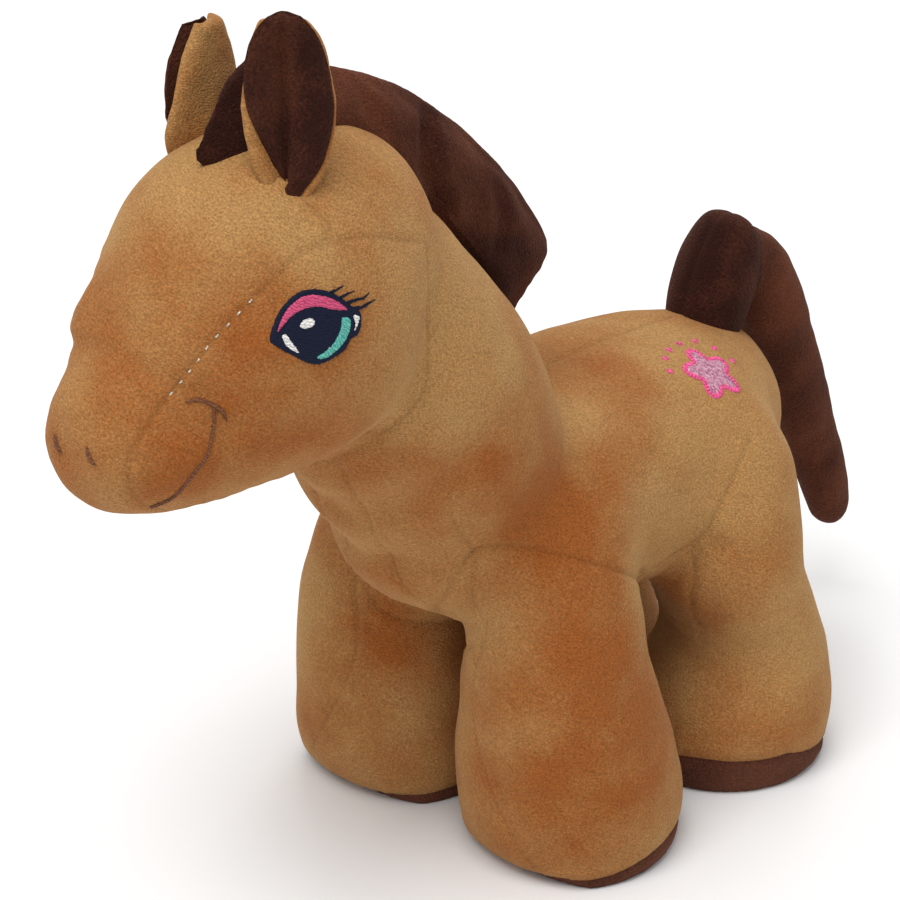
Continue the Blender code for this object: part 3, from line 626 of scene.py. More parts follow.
normals = normals_of(skin)
push = 0.35 * lumps(points, 42, 5) + 0.16 * lumps(points, 17, 8)
creases = [(depth, reach, side) for depth, reach, line in CREASES for side in both_sides(line)]
for depth, reach, line in [BRIDGE, *creases]:
    push -= depth * fades(from_line(points, places(line)), reach)
for height, reach, middle in SWELLS:
    push += height * fades(np.linalg.norm(points - np.array(at(*middle)), axis=1) / MM, reach)
x, y, z = in_mm(points).T
push *= np.clip((z - 0.5) / 8, 0, 1)
points = raised(points, normals, push)
points[:, 2] = np.maximum(points[:, 2], 0)
put_points(skin, points)
print("deepest dent", round(-push.min(), 2), "mm, highest swell", round(push.max(), 2), "mm")

# %% [markdown]
# Sew the seams.
#
# A seam pulls the cloth into a narrow groove, and the thread gathers it into small puckers that
# die out a few millimetres away. The distance from the seam is also kept on the skin as a named
# value, so that the cloth's material can paint shade into the groove.

# %% Sink the seams and pucker the cloth beside them
def end_fade(count):
    """Shares for the steps of a seam, low over the last 4 mm before each of its ends."""
    from_end = np.minimum(np.arange(count), np.arange(count)[::-1]) * STEP
    return np.clip(from_end / 4, 0.15, 1)


class Stitching:
    """Seam lines on the cloth, and what they do to points near them."""

    def __init__(self, lines, depths):
        self.spots = np.vstack(lines)
        self.way = np.vstack([np.gradient(line, axis=0) for line in lines])
        self.way /= np.maximum(np.linalg.norm(self.way, axis=1), 1e-9)[:, None]
        self.run = np.concatenate([np.arange(len(line)) * STEP for line in lines])
        self.depth = np.concatenate([end_fade(len(line)) * depth for line, depth in zip(lines, depths)])
        self.tree = tree_of(self.spots)

    def near(self, points):
        """For each point, in mm: distance from the seam, place along it, and the groove's depth."""
        found = np.array([self.tree.find(p)[1] for p in points])
        away = points - self.spots[found]
        ahead = np.einsum("ij,ij->i", away, self.way[found])
        ahead = np.clip(ahead, -STEP * MM, STEP * MM)
        away = away - self.way[found] * ahead[:, None]
        return np.linalg.norm(away, axis=1) / MM, self.run[found] + ahead / MM, self.depth[found]


cloth = surface_of(skin)
lines, depths = [], []
for name, (depth, line) in SEAMS.items():
    for mirrored in both_sides(line):
        lines.append(laid(places(mirrored), cloth))
        depths.append(depth)
for name, (depth, line) in MIDDLE_SEAMS.items():
    lines.append(laid(places(line), cloth))
    depths.append(depth)
stitching = Stitching(lines, depths)


def sole_line(points):
    """Height of the seam round each sole, in mm: low at the front feet's toes, higher behind."""
    out, back = foot_frame(points)[0].T
    y = in_mm(points)[:, 1]
    wave = 0.4 * np.sin(5 * np.arctan2(back, out) + 0.8)
    front = 1.2 + 2.2 * np.clip((back + 1) / 0.27, 0, 1) + 5.0 * np.clip((back + 0.73) / 1.2, 0, 1)
    rear = 12.0 - 6.5 * np.clip((out + back - 0.75) / 0.65, 0, 1)
    return np.where(y < PAIRS_PART, front, rear) + wave


def sewn(points, normals, stitching):
    """The points with the grooves and puckers of the seams, and their distances from a seam."""
    gap, run, depth = stitching.near(points)
    from_sole = np.abs(points[:, 2] / MM - sole_line(points))
    groove = np.maximum(0.8 * depth * bell(gap, 1.3), bell(from_sole, 1.3))
    pucker = 0.08 * np.sin(run * math.tau / 6.3 + 1.3 * np.sin(run / 9)) * bell(gap - 2.2, 2.2)
    push = pucker * np.clip(depth, 0, 1) - groove
    push *= np.clip(points[:, 2] / MM / 2, 0, 1)
    return raised(points, normals, push), np.minimum(gap, from_sole)


points, seam_gap = sewn(points, normals_of(skin), stitching)
put_points(skin, points)
print("points within 2 mm of a seam:", int((seam_gap < 2).sum()))

# %% [markdown]
# Which way the pile lies.
#
# Short plush shines pale where the pile leans towards the light and goes rusty where a hand has
# brushed it the other way. Those patches have soft edges and no pattern, so a few are listed one
# by one and the rest comes from slow waves. The result is kept on the skin as a value from 0 to 1.

# %% Brush the pile into patches
PATCHES = (  # rusty above 0, pale below; reach in mm; middle
    (0.55, 24, (26, -120, 196)),
    (0.5, 26, (30, -98, 166)),
    (-0.5, 36, (8, -96, 226)),
    (0.45, 24, (-2, -136, 200)),
    (0.3, 20, (-6, -152, 174)),
    (0.75, 20, (20, -132, 166)),
    (-0.5, 28, (38, -66, 198)),
    (-0.5, 26, (34, -50, 162)),
    (0.4, 20, (30, -54, 140)),
    (0.85, 28, (44, -14, 114)),
    (-0.35, 24, (28, 10, 136)),
    (0.3, 18, (24, 34, 134)),
    (-0.55, 36, (30, 76, 122)),
    (-0.5, 30, (44, 34, 98)),
    (0.75, 30, (58, -20, 84)),
    (0.6, 36, (62, -14, 40)),
    (0.3, 24, (30, -30, 20)),
    (0.55, 22, (-18, -30, 60)),
    (-0.3, 24, (-45, -30, 60)),
    (0.5, 16, (42, 42, 62)),
    (-0.5, 34, (64, 84, 50)),
    (-0.3, 26, (50, 64, 84)),
)


def brushed(points):
    """How rusty each point is, from 0 to 1."""
    nap = 0.4 + 0.14 * lumps(points, 60, 21) + 0.12 * lumps(points, 26, 22)
    for strength, reach, middle in PATCHES:
        nap += strength * fades(np.linalg.norm(points - np.array(at(*middle)), axis=1) / MM, reach * 1.3)
    return np.clip(nap, 0, 1)


skin_nap = brushed(points)
print("rusty share of the cloth", round(float((skin_nap > 0.5).mean()), 2))

# %% [markdown]
# Cut the skin into the toy's panels.
#
# The pieces follow the sewing pattern and the joints. A panel that crosses a joint has its rim where
# a bend there would not yet have begun. All pieces take their shading directions from the whole
# skin, so no rim shows. The points between leg and sole are first moved onto the sole's seam, so
# that the cut runs smoothly.

# %% Cut out pieces by a label for each face
NECK_AXIS = np.array([0, -0.505, 0.863])
NECK_HINGE = np.array(at(0, -40, 150))
NECK_LOW, NECK_HIGH = -28.0, 22.0
HIP_OFF, HIP_UP = 8, 46.5


def leg_depth(points):
    """How far a point is past the slanted plane where a leg leaves the trunk, in mm."""
    x, y, z = in_mm(points).T
    return ((np.abs(x) - HIP_OFF) - (z - HIP_UP)) / math.sqrt(2)


def neck_height(points):
    return (points - NECK_HINGE) @ NECK_AXIS / MM


def panel_names(points, normals):
    """The name of the panel that each face belongs to."""
    x, y, z = in_mm(points).T
    side = np.where(x > 0, "left", "right")
    names = np.char.add("body_side_", side).astype(object)
    under = (normals[:, 2] < 0.15) & (np.abs(x) < np.where(y < -40, 11, 17)) & (z < 125)
    names[under] = "belly_gusset"
    rise = neck_height(points)
    on_neck = (rise > NECK_LOW) & (rise <= NECK_HIGH)
    names[on_neck] = np.char.add("neck_side_", side[on_neck])
    on_head = rise > NECK_HIGH
    names[on_head] = np.char.add("cheek_", side[on_head])
    names[on_head & (np.abs(x) < 22) & (normals[:, 2] > 0.1)] = "forehead_gusset"
    names[on_head & (np.abs(x) < 22) & (normals[:, 2] < -0.35)] = "chin_gusset"
    on_leg = (leg_depth(points) > 0) & (z < 125)
    pair = np.where(y < 35.9, "front_", "rear_")
    part = np.where(np.abs(x) > LEG_MIDDLE, "_leg_outer", "_leg_inner")
    part = np.where(z < sole_line(points), "_sole", part)
    leg_names = np.char.add(np.char.add(pair, side), part)
    names[on_leg] = leg_names[on_leg]
    return names


def loops_of(piece):
    """The points at the corners of each face."""
    sizes = np.empty(len(piece.data.polygons), int)
    piece.data.polygons.foreach_get("loop_total", sizes)
    corners = np.empty(sizes.sum(), int)
    piece.data.loops.foreach_get("vertex_index", corners)
    ends = np.cumsum(sizes)
    return [corners[e - s:e] for s, e in zip(sizes, ends)]


def give(piece, values):
    """Stores named values on the piece's points: single numbers, or places."""
    for name, data in values.items():
        kind = "FLOAT_VECTOR" if data.ndim > 1 else "FLOAT"
        held = piece.data.attributes.new(name, kind, "POINT")
        held.data.foreach_set("vector" if data.ndim > 1 else "value", data.astype(np.float32).ravel())


def cut_out(source, labels, values):
    """One object for each label, with the values and the shading of the source."""
    faces = loops_of(source)
    points, normals = points_of(source), normals_of(source)
    made = {}
    for name in sorted(set(labels)):
        mine = [faces[i] for i in np.where(labels == name)[0]]
        used, flat = np.unique(np.concatenate(mine), return_inverse=True)
        ends = np.cumsum([len(face) for face in mine])
        corners = [flat[e - len(face):e].tolist() for face, e in zip(mine, ends)]
        piece = link(f"{name}_plush", mesh_of(f"{name}_plush", points[used], corners))
        piece.data.shade_smooth()
        give(piece, {key: data[used] for key, data in values.items()})
        piece.data.normals_split_custom_set_from_vertices(normals[used].tolist())
        made[name] = piece
    return made


def face_middles(piece):
    """The middles of the faces, and the ways that they face."""
    flat = np.empty(len(piece.data.polygons) * 3)
    piece.data.polygons.foreach_get("center", flat)
    ways = np.empty(len(piece.data.polygons) * 3)
    piece.data.polygons.foreach_get("normal", ways)
    return flat.reshape(-1, 3), ways.reshape(-1, 3)


def levelled(piece, labels):
    """Moves the points between sole and leg onto the sole's seam, and gives all points."""
    points = points_of(piece)
    below, above = np.zeros(len(points), bool), np.zeros(len(points), bool)
    for face, name in zip(loops_of(piece), labels):
        (below if name.endswith("_sole") else above)[face] = True
    rim = below & above
    points[rim, 2] = sole_line(points)[rim] * MM
    put_points(piece, points)
    return points


middles, ways = face_middles(skin)
labels = panel_names(middles, ways)
points = levelled(skin, labels)
skin_cloth = surface_of(skin)
panels = cut_out(skin, labels, {"place": points, "seam_gap": seam_gap, "nap": skin_nap})
discard(skin)
print("panels:", {name: len(piece.data.polygons) for name, piece in panels.items()})

# %% [markdown]
# Fix the panels to their bodies.
#
# The trunk's panels ride on the torso and the head's panels on the head. The neck and the leg
# panels keep their places and do not bend.


def stands_for(nodes):
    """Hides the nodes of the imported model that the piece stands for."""
    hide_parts(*nodes)


def bend_with_neck(piece):
    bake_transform(piece)


def bend_with_leg(piece, pair, side):
    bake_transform(piece)


FILLED = {"body_side_left": "body", "neck_side_left": "neck", "cheek_left": "head"}
for name, piece in panels.items():
    if name.startswith(("body", "belly")):
        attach(piece, "torso")
    elif name.startswith("neck"):
        bend_with_neck(piece)
    elif name.startswith(("front", "rear")):
        bend_with_leg(piece, *name.split("_")[:2])
    else:
        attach(piece, "head")
    nodes = [name]
    if name in FILLED:
        nodes.append(FILLED[name] + "_stuffing")
    if name.endswith("leg_outer"):
        nodes.append(name.replace("outer", "stuffing"))
    stands_for(nodes)
print("fixed", len(panels), "panels")

# %% [markdown]
# Outlines filled with an even mesh.
#
# The mane is two flat panels sewn together at the rim, and embroidery is thread laid inside an
# outline. Both start as a flat outline. A triangulation that keeps the outline as its rim, with
# evenly spread points inside, gives a mesh that can then be raised, swollen or laid on the cloth.

# %% Fill a flat outline with triangles
def closed_curve(outline, step):
    """A smooth closed curve through points of a plane, in even steps."""
    loop = np.asarray([outline[-1], *outline, outline[0], outline[1]], float)
    count = len(outline)
    share = (1 + np.linspace(0, count, 24 * count, endpoint=False)) / (len(loop) - 1)
    return straight_curve(along(loop, share), step)


def straight_curve(outline, step):
    """A closed outline with straight sides, in even steps."""
    return paced(np.vstack((outline, outline[:1])), step)


def to_rim(points, rim):
    """Distance of points of a plane from a run of points."""
    nearest = np.full(len(points), np.inf)
    for a, b in zip(rim, rim[1:]):
        run = b - a
        t = np.clip((points - a) @ run / max(run @ run, 1e-18), 0, 1)
        nearest = np.minimum(nearest, np.linalg.norm(points - a - t[:, None] * run, axis=1))
    return nearest


def inside(points, rim):
    """Which points of a plane lie inside a closed rim."""
    hit = np.zeros(len(points), bool)
    for a, b in zip(rim, np.roll(rim, -1, 0)):
        crosses = (a[1] > points[:, 1]) != (b[1] > points[:, 1])
        height = (b[0] - a[0]) * (points[:, 1] - a[1]) / (b[1] - a[1] + 1e-30) + a[0]
        hit ^= crosses & (points[:, 0] < height)
    return hit


def filled(rim, step):
    """Points and triangles that fill a closed rim. The rim's own points come first."""
    low, high = rim.min(0), rim.max(0)
    rows = np.arange(low[1], high[1], step * 0.87)
    columns = np.arange(low[0], high[0], step)
    grid = np.array([(x + (i % 2) * step / 2, y) for i, y in enumerate(rows) for x in columns])
    closed = np.vstack((rim, rim[:1]))
    grid = grid[inside(grid, rim)]
    grid = grid[to_rim(grid, closed) > step * 0.6]
    every = np.vstack((rim, grid))
    edges = [(i, (i + 1) % len(rim)) for i in range(len(rim))]
    points, _, faces, *_ = delaunay_2d_cdt([Vector(p) for p in every], edges, [], 1, 1e-7)
    return np.array([tuple(p) for p in points]), [tuple(face) for face in faces]


def thick(front, back, faces, rim_count):
    """A closed form of a front and a back sheet over the same faces."""
    start = len(front)
    every = list(faces) + [tuple(start + i for i in reversed(face)) for face in faces]
    every += [(i, start + i, start + (i + 1) % rim_count, (i + 1) % rim_count) for i in range(rim_count)]
    return np.vstack((front, back)), every


# %% [markdown]
# The mane is a stuffed fin.
#
# Its upper rim is read off its outline in the picture, which lies in the middle plane of the horse.
# Its root is sunk in the nape. Fibre makes the fin thickest along the root and thin at the sewn rim.

# %% Make the mane
MANE_RIM = (  # spots of the picture
    (193, 162), (200, 138), (207, 117), (217, 95), (229, 76), (244, 60), (266, 50), (300, 52), (335, 62),
    (368, 71), (400, 85), (440, 110), (472, 135), (500, 165), (523, 198), (541, 230), (543, 240),
    (538, 260), (528, 280), (516, 300), (507, 311),
)
MANE_ROOT = (  # back from the front legs and up, in mm
    (2, 156), (-12, 178), (-30, 199), (-50, 213), (-72, 224), (-90, 226), (-100, 225),
)
MANE_HALF = 8.6
MANE_SLOPE = 15.0
MANE_CREASES = (  # depth, reach and place off the middle in mm, and spots of the picture
    (3.4, 7, 9, ((441, 110), (434, 135), (431, 165), (436, 190), (446, 215))),
    (1.5, 6, 9, ((370, 74), (372, 100), (385, 125))),
    (1.6, 5, 9, ((500, 190), (504, 220), (498, 250))),
    (1.0, 8, 9, ((490, 160), (478, 200), (480, 250))),
)


def upright(points):
    """Places in the middle plane as y and z in mm."""
    return in_mm(points)[:, 1:]


rim = upright(np.array([seen_at(u, v) for u, v in MANE_RIM]))
outline = closed_curve(np.vstack((rim, MANE_ROOT)), 1.6)
flat, faces = filled(outline, 1.8)
sewn_rim = along(rim, np.linspace(0, 1, 120))
edge = to_rim(flat, sewn_rim)
swell = MANE_HALF * np.sqrt(1 - (1 - np.clip(edge / MANE_SLOPE, 0, 1)) ** 2) + 0.15
swell *= np.clip(0.34 + (flat[:, 0] + 108) / 42, 0.34, 1)
sheets = [places(np.column_stack((sign * swell, flat))) for sign in (1, -1)]
mane = wrapped("mane", [thick(*sheets, faces, len(outline))], 1.7)
points, edges = points_of(mane), edges_of(mane)
points = eased(points, edges, 6, back=0.5)
put_points(mane, points)
held = fades(to_rim(upright(points), sewn_rim) - 1.0, 2.5)
moved = swollen(mane, held, "mane")
finer(mane)
points, normals = points_of(mane), normals_of(mane)
push = 0.5 * lumps(points, 30, 31) + 0.2 * lumps(points, 12, 32)
for depth, reach, x, line in MANE_CREASES:
    for sign in (1, -1):
        crease = np.array([seen_at(u, v, x) for u, v in line]) * (sign, 1, 1)
        push -= depth * fades(from_line(points, crease), reach)
rim_gap = to_rim(upright(points), along(rim, np.linspace(0, 1, 160)))
middle_gap = np.hypot(rim_gap, points[:, 0] / MM)
push -= 0.5 * bell(middle_gap, 1.4)
gather = np.sin(upright(points) @ np.array((1.1, 0.9)))
push += 0.12 * gather * bell(rim_gap - 3.5, 2.5)
points = raised(points, normals, push)
put_points(mane, points)
# Partly painted light: the mane is paler through its middle behind the ears, where light from above falls,
# and darker at both ends; the slow waves add real nap patches.
mane_nap_and_top_light = np.interp(in_mm(points)[:, 1], (-95, -78, -45, -25), (0.85, 0.25, 0.3, 0.75))
mane_nap_and_top_light += 0.25 * lumps(points, 40, 33)
# The distance from the mane's sewn rim, along which the material paints shade into the groove.
values = {"place": points, "seam_gap": middle_gap, "nap": np.clip(mane_nap_and_top_light, 0, 1)}
middles, _ = face_middles(mane)
labels = np.where(middles[:, 0] > 0, "mane_left", "mane_right")
mane_panels = cut_out(mane, labels, values)
discard(mane)
for name, piece in mane_panels.items():
    bend_with_neck(piece)
    stands_for([name, "mane_stuffing"] if name == "mane_left" else [name])
print("mane swelled by", round(moved, 2), "mm, faces:", [len(p.data.polygons) for p in mane_panels.values()])

# %% [markdown]
# The tail is one tube, folded over at its top.
#
# The root stands up from the rump, and the longer part falls from the fold. Wrapping one skin round
# both tubes makes the crease between them by itself. The skin is cut there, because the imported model
# lets the tail lift at its root and swing at the fold.

# %% Make the tail
ROOT_LINE = [(0, 92, 112), (0, 98, 127.7), (0, 104, 143.3), (0, 110.5, 160.5)]
DROP_LINE = [(0, 109, 154), (0, 124, 137), (0, 138, 111), (0, 155, 76), (0, 174.5, 30.5)]
FOLD_LINE = [(12, 117, 150), (7, 121, 141), (-7, 121, 141), (-12, 117, 150)]
ROOT_WIDTH, DROP_WIDTH = 27, 19
ROOT_SHARES = (0.97, 1, 1.02, 1)
DROP_SHARES = (1.2, 1.42, 1.28, 1.2, 1.44)
tail_root = tube(ROOT_LINE, ROOT_WIDTH, ROOT_SHARES, ROOT_WIDTH, ROOT_SHARES, sides=40, rings=30)
tail_drop = tube(DROP_LINE, DROP_WIDTH, DROP_SHARES, DROP_WIDTH, DROP_SHARES, sides=36, rings=40)
tail = wrapped("tail", [tail_root, tail_drop], 1.6)


def on_drop(points):
    """Which points lie nearer to the hanging part of the tail than to its root."""
    root_gap = from_line(points, places(ROOT_LINE)) - 13
    drop_gap = from_line(points, places(along(DROP_LINE, np.linspace(0, 1, 12)))) - 9.5
    return drop_gap < root_gap


points, edges = points_of(tail), edges_of(tail)
points = eased(points, edges, 10, back=0.5)
put_points(tail, points)
held = fades(points[:, 2] / MM - 120, 6) * fades(points[:, 1] / MM - 100, 10)
swollen(tail, held, "tail")
put_points(tail, eased(points_of(tail), edges, 5, back=0.5))
finer(tail)
points, normals = points_of(tail), normals_of(tail)
hanging = on_drop(points)
x, y, z = in_mm(points).T
front_of = y < np.interp(z, (31, 76, 111, 137, 154), (174, 155, 138, 124, 109))
# The distance from the tail's middle seam, along which the material paints shade into the groove.
seam_gap = np.where(front_of & hanging, 30, np.abs(x))
push = 0.25 * lumps(points, 30, 41) + 0.12 * lumps(points, 11, 42) - 0.5 * bell(seam_gap, 1.4)
push -= 1.2 * fades(from_line(points, places(FOLD_LINE)), 6)
points = raised(points, normals, push)
put_points(tail, points)
tail_nap = np.where(hanging, 0.3, 0.9) + 0.2 * lumps(points, 36, 43)
values = {"place": points, "seam_gap": seam_gap, "nap": np.clip(tail_nap, 0, 1)}
middles, _ = face_middles(tail)
labels = np.where(on_drop(middles), "tail_drop_skin", "tail_root_skin")
tail_panels = cut_out(tail, labels, values)
discard(tail)
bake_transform(tail_panels["tail_root_skin"])
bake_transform(tail_panels["tail_drop_skin"])
for name, piece in tail_panels.items():
    stands_for([name, name.replace("skin", "stuffing")])
print("tail:", {name: len(p.data.polygons) for name, p in tail_panels.items()})

# %% [markdown]
# The ears are folded leaves.
#
# Each has a tan back and a dark lining, turned out and pressed, then folded along its middle and
# sewn into the head. The back is a thin pillow with a round rim, cupped forward. The lining is a
# second leaf on its front, drawn in at one side of its root, with the groove of the fold down its
# middle.

# %% Make the ears
EAR_HEIGHT = 51
EAR_TOP = 0.965
EAR_HALF = 13.4
EAR_CUP = 6.0
EARS = {  # root, turn outwards and lean in degrees, and shares of height and width for the back
    "left": ((17.5, -95, 225), 55, 2, 0.96, 0.93),
    "right": ((-18, -87, 213), -84, -2, 1.0, 1.0),
}


def leaf(t, u, cup, half, tall):
    """The middle surface of an ear in its own frame, in mm: t up the ear, u across it."""
    width = half * along((0.25, 0.7, 0.93, 1.0, 1.0, 0.97, 0.95), t) * np.sqrt(np.clip(1.02 - t ** 5, 0, 1))
    bend = cup * u * u * (1 - 0.45 * t) - 1.2 * np.sin(t * 2.6)
    return np.stack((width * u, -bend, tall * t), -1)


def leaf_pillow(across, up, cup, half, tall, proud, fat, rounding):
    """A closed leaf over grids of shares, proud mm ahead of the ear's middle and fat mm thick."""
    base, firm = leaf(up, across, cup, half, tall), np.clip(up, 0.02, 0.9)
    du = leaf(firm, across + 0.01, cup, half, tall) - leaf(firm, across - 0.01, cup, half, tall)
    dt = leaf(firm + 0.01, across, cup, half, tall) - leaf(firm - 0.01, across, cup, half, tall)
    out = np.cross(du, dt)
    out /= np.maximum(np.linalg.norm(out, axis=-1), 1e-9)[..., None]
    out *= np.where(out[..., 1:2] > 0, -1, 1)
    h = fat / 2 * rounding
    front = base + out * (proud + h)[..., None]
    back = base + out * (proud - h)[..., None]
    rows, columns = across.shape
    points = np.vstack((front.reshape(-1, 3), back.reshape(-1, 3)))
    start, faces = rows * columns, []
    for i in range(rows - 1):
        for k in range(columns - 1):
            a, b = i * columns + k, (i + 1) * columns + k
            faces += [(a, a + 1, b + 1, b), (start + a, start + b, start + b + 1, start + a + 1)]
    order = np.arange(rows * columns).reshape(rows, columns)
    rim = [*order[0], *order[1:, -1], *order[-1, -2::-1], *order[-2:0:-1, 0]]
    faces += [(b, a, start + a, start + b) for a, b in zip(rim, rim[1:] + rim[:1])]
    return points, faces


def round_off(u, t, low, high, soft):
    """1 inside a leaf, falling in a quarter circle to nearly 0 at its rim."""
    near = np.minimum(np.minimum(u - low, high - u) / soft, np.minimum((EAR_TOP - t) / 0.05, 1))
    near = np.clip(near, 0, 1)
    return np.sqrt(np.clip(1 - (1 - near) ** 2, 0, 1)) * 0.96 + 0.04


EAR_ROWS, EAR_COLUMNS = 46, 40
ear_pieces = {}
for side, (root, turn, lean, tall, half_share) in EARS.items():
    stand = Matrix.Translation(at(*root)) @ Matrix.Rotation(math.radians(turn), 4, "Z")
    stand = stand @ Matrix.Rotation(math.radians(-lean), 4, "X")
    rising = np.sin(np.linspace(0, 1, EAR_ROWS) * math.pi / 2)
    up, share = np.meshgrid(rising * 1.04 - 0.04, np.linspace(-1, 1, EAR_COLUMNS), indexing="ij")
    share = np.sin(share * math.pi / 2)
    up = np.clip(up, 0, 1) * EAR_TOP
    rolled = 0.46 * np.clip((up - 0.42) / 0.58, 0, 1) ** 0.9
    left, right = (-0.84, 1.0) if side == "left" else (-1.0, 1 - rolled)
    across = left + (right - left) * (share + 1) / 2
    size = (EAR_CUP, EAR_HALF * half_share, EAR_HEIGHT * tall)
    made = {"ear_back": leaf_pillow(across, up, *size, 0 * up, 3.4, round_off(share, up, -1, 1, 0.3))}
    low, high = -0.98 + 0.95 * (1 - up) ** 2.2, 0.96
    if side == "right":
        low, high = -0.9, 0.94 - 0.4 * np.clip((0.5 - up) / 0.5, 0, 1)
    across = low + (high - low) * (share + 1) / 2
    inner = round_off((share + 1) / 2, up, 0, 1, 0.16)
    groove = bell(across + 0.02, 0.12) * np.clip(1.0 - up, 0, 0.3) / 0.3
    fold = bell(across + 0.02, 0.3) * np.clip((0.93 - up) / 0.2, 0, 1)
    proud = 1.8 + 2.0 * inner - 1.8 * groove - 1.4 * fold
    size = (EAR_CUP, EAR_HALF, EAR_HEIGHT)
    made["ear_lining"] = leaf_pillow(across, up, *size, proud, 3.0, inner)
    for part, (points, faces) in made.items():
        points = np.array([stand @ Vector(p * MM) for p in points])
        piece = link(f"{part}_{side}_plush", mesh_of(part, points, faces))
        outward(piece, merge=0.02)
        piece.data.shade_smooth()
        points, normals = points_of(piece), normals_of(piece)
        push = 0.3 * lumps(points, 14, 51) + 0.12 * lumps(points, 4, 53)
        points = eased(raised(points, normals, push), edges_of(piece), 3, back=0.4)
        put_points(piece, points)
        is_back = part == "ear_back"
        nap = np.clip((0.5 if is_back else 0.85) + 0.25 * lumps(points, 20, 52), 0, 1)
        give(piece, {"place": points, "seam_gap": np.full(len(points), 30.0), "nap": nap})
        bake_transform(piece)
        stands_for([f"{part}_{side}"])
        ear_pieces[f"{part}_{side}"] = piece
print("ears:", {name: len(p.data.polygons) for name, p in ear_pieces.items()})

# %% [markdown]
# Embroidery is thread standing on the cloth.
#
# A colour field of satin stitch stands half a millimetre proud, with a rounded, slightly ragged rim
# where the needle turns. Each field is drawn as an outline in the picture, filled with a mesh, laid
# on the cloth along the lines of sight, and thickened. The other side of the face gets the same
# field turned over.

# %% Lay an embroidered field on the cloth
embroidery = {}


def ragged(rim, amount):
    """The rim with each point moved a little in or out by chance, as stitches end."""
    ahead = np.roll(rim, -1, 0) - np.roll(rim, 1, 0)
    side = np.column_stack((ahead[:, 1], -ahead[:, 0]))
    side /= np.maximum(np.linalg.norm(ahead, axis=1), 1e-9)[:, None]
    draw = np.random.default_rng(len(rim))
    return rim + side * (amount * draw.uniform(-1, 1, len(rim)))[:, None]


def ribbon(line, widths):
    """The outline of a thread line through points, its width running smoothly through widths."""
    t = np.linspace(0, 1, 8 * len(line))
    middle, width = along(line, t), along(widths, t)
    ahead = np.gradient(middle, axis=0)
    side = np.column_stack((-ahead[:, 1], ahead[:, 0])) / np.linalg.norm(ahead, axis=1)[:, None]
    return np.vstack((middle + side * width[:, None] / 2, (middle - side * width[:, None] / 2)[::-1]))


def on_skin(u, v):
    """Where a spot of the picture lies on the cloth, and the way that the cloth faces there."""
    place, normal, *_ = skin_cloth.ray_cast(camera.location, sight(u, v))
    return place, normal


def thread_piece(name, parts, faces):
    """One smooth piece of thread, from the points of its parts."""
    piece = link(name, mesh_of(name, np.vstack(parts), faces))
    outward(piece)
    piece.data.shade_smooth()
    give(piece, {"place": points_of(piece)})
    return piece


def turned(vector):
    """The same place or way on the other side of the horse."""
    return Vector((-vector.x, vector.y, vector.z))


def embroidered(
    name, outlines, lift, height, mirror=False, step=1.1, rough=0.4, lay=on_skin, smooth=True, soft=1.9
):
    """One mesh of raised fields. Outlines are in the lay's own units, lift and height in mm."""
    every, faces, start = [], [], 0
    curve = closed_curve if smooth else straight_curve
    for outline in outlines:
        rim = ragged(curve(outline, step * 0.7), rough)
        flat, triangles = filled(rim, step)
        rise = np.clip(to_rim(flat, np.vstack((rim, rim[:1]))) / soft, 0, 1)
        rise = 1 - (1 - rise) ** 2
        front, back = [], []
        for (u, v), r in zip(flat, rise):
            place, normal = lay(u, v)
            if mirror:
                place, normal = skin_cloth.find_nearest(turned(place))[0], turned(normal)
            front.append(place + normal * (lift + height * r) * MM)
            back.append(place - normal * 0.4 * MM)
        points, corners = thick(np.array(front), np.array(back), triangles, len(rim))
        every.append(points)
        faces += [tuple(start + i for i in face) for face in corners]
        start += len(points)
    embroidery[name] = thread_piece(name, every, faces)
    return embroidery[name]


def sewn_on(piece, body, node=None):
    """The piece rides on a body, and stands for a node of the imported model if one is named."""
    if node:
        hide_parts(node)
    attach(piece, body)


# %% [markdown]
# The eye.
#
# A dark ground with a pink lid, a white corner, a white catch light, a teal crescent and a small
# white one behind it, and four lashes swept back from the upper lid. The fields lie on one another
# in the order in which a machine sews them.

# %% Embroider both eyes
EYE_GROUND = (
    (269.8, 337.2), (272.5, 327), (278, 314), (287, 301.5), (298, 292.8), (310, 289.4), (322, 289.8),
    (334, 293.8), (344, 300.2), (353, 307), (360, 312.5), (361, 325), (357, 335), (350.5, 339.5),
    (346, 348.5), (338, 355), (326, 362), (316, 364.3), (306, 362.3), (294, 356), (284, 351), (276, 346),
    (271, 342.5),
)
EYE_LASHES = (  # each a line of spots, and its widths
    (((330, 293), (337, 289.5), (343.5, 285.6)), (3.2, 2.4, 0.8)),
    (((340, 297.5), (347, 294), (354.5, 291)), (3.2, 2.4, 0.8)),
    (((347, 303), (357, 299.5), (363.5, 298), (369.5, 292)), (3.6, 2.8, 2.0, 0.8)),
    (((350, 309), (361, 307.5), (368, 303.5), (375.5, 299.2)), (4.4, 3.6, 2.4, 0.8)),
)
EYE_LID = (
    (276, 334), (278.5, 325), (284.5, 312), (292.5, 303), (302, 296.3), (313, 294.4), (325, 296.3),
    (335, 300.2), (342.5, 305), (347, 310), (338, 310.4), (328, 309), (318, 307), (308, 308), (298, 312),
    (290, 318), (282, 327),
)
EYE_WHITES = (
    ((281.5, 335.5), (286, 334), (291, 341), (299, 352.4), (291, 350), (284.5, 344)),
    ((299, 325), (303, 319.6), (310, 317.6), (314.2, 321), (312, 326.5), (305.5, 328.8), (300.5, 328)),
    ((352, 315.2), (358.6, 315.8), (358, 322), (354, 331), (352.2, 332.5), (353.8, 324)),
)
EYE_ARC = (
    (341, 317.2), (349, 318), (349.8, 327), (345.5, 339), (337, 349.5), (326, 357.5), (318, 358.6),
    (316.5, 355.5), (324, 351), (332, 343), (337.5, 333.5), (340, 325),
)
EYE_GLINT = (((322, 352.6), (329.5, 346.2), (335, 338.5)), (0.7, 1.2, 0.7))

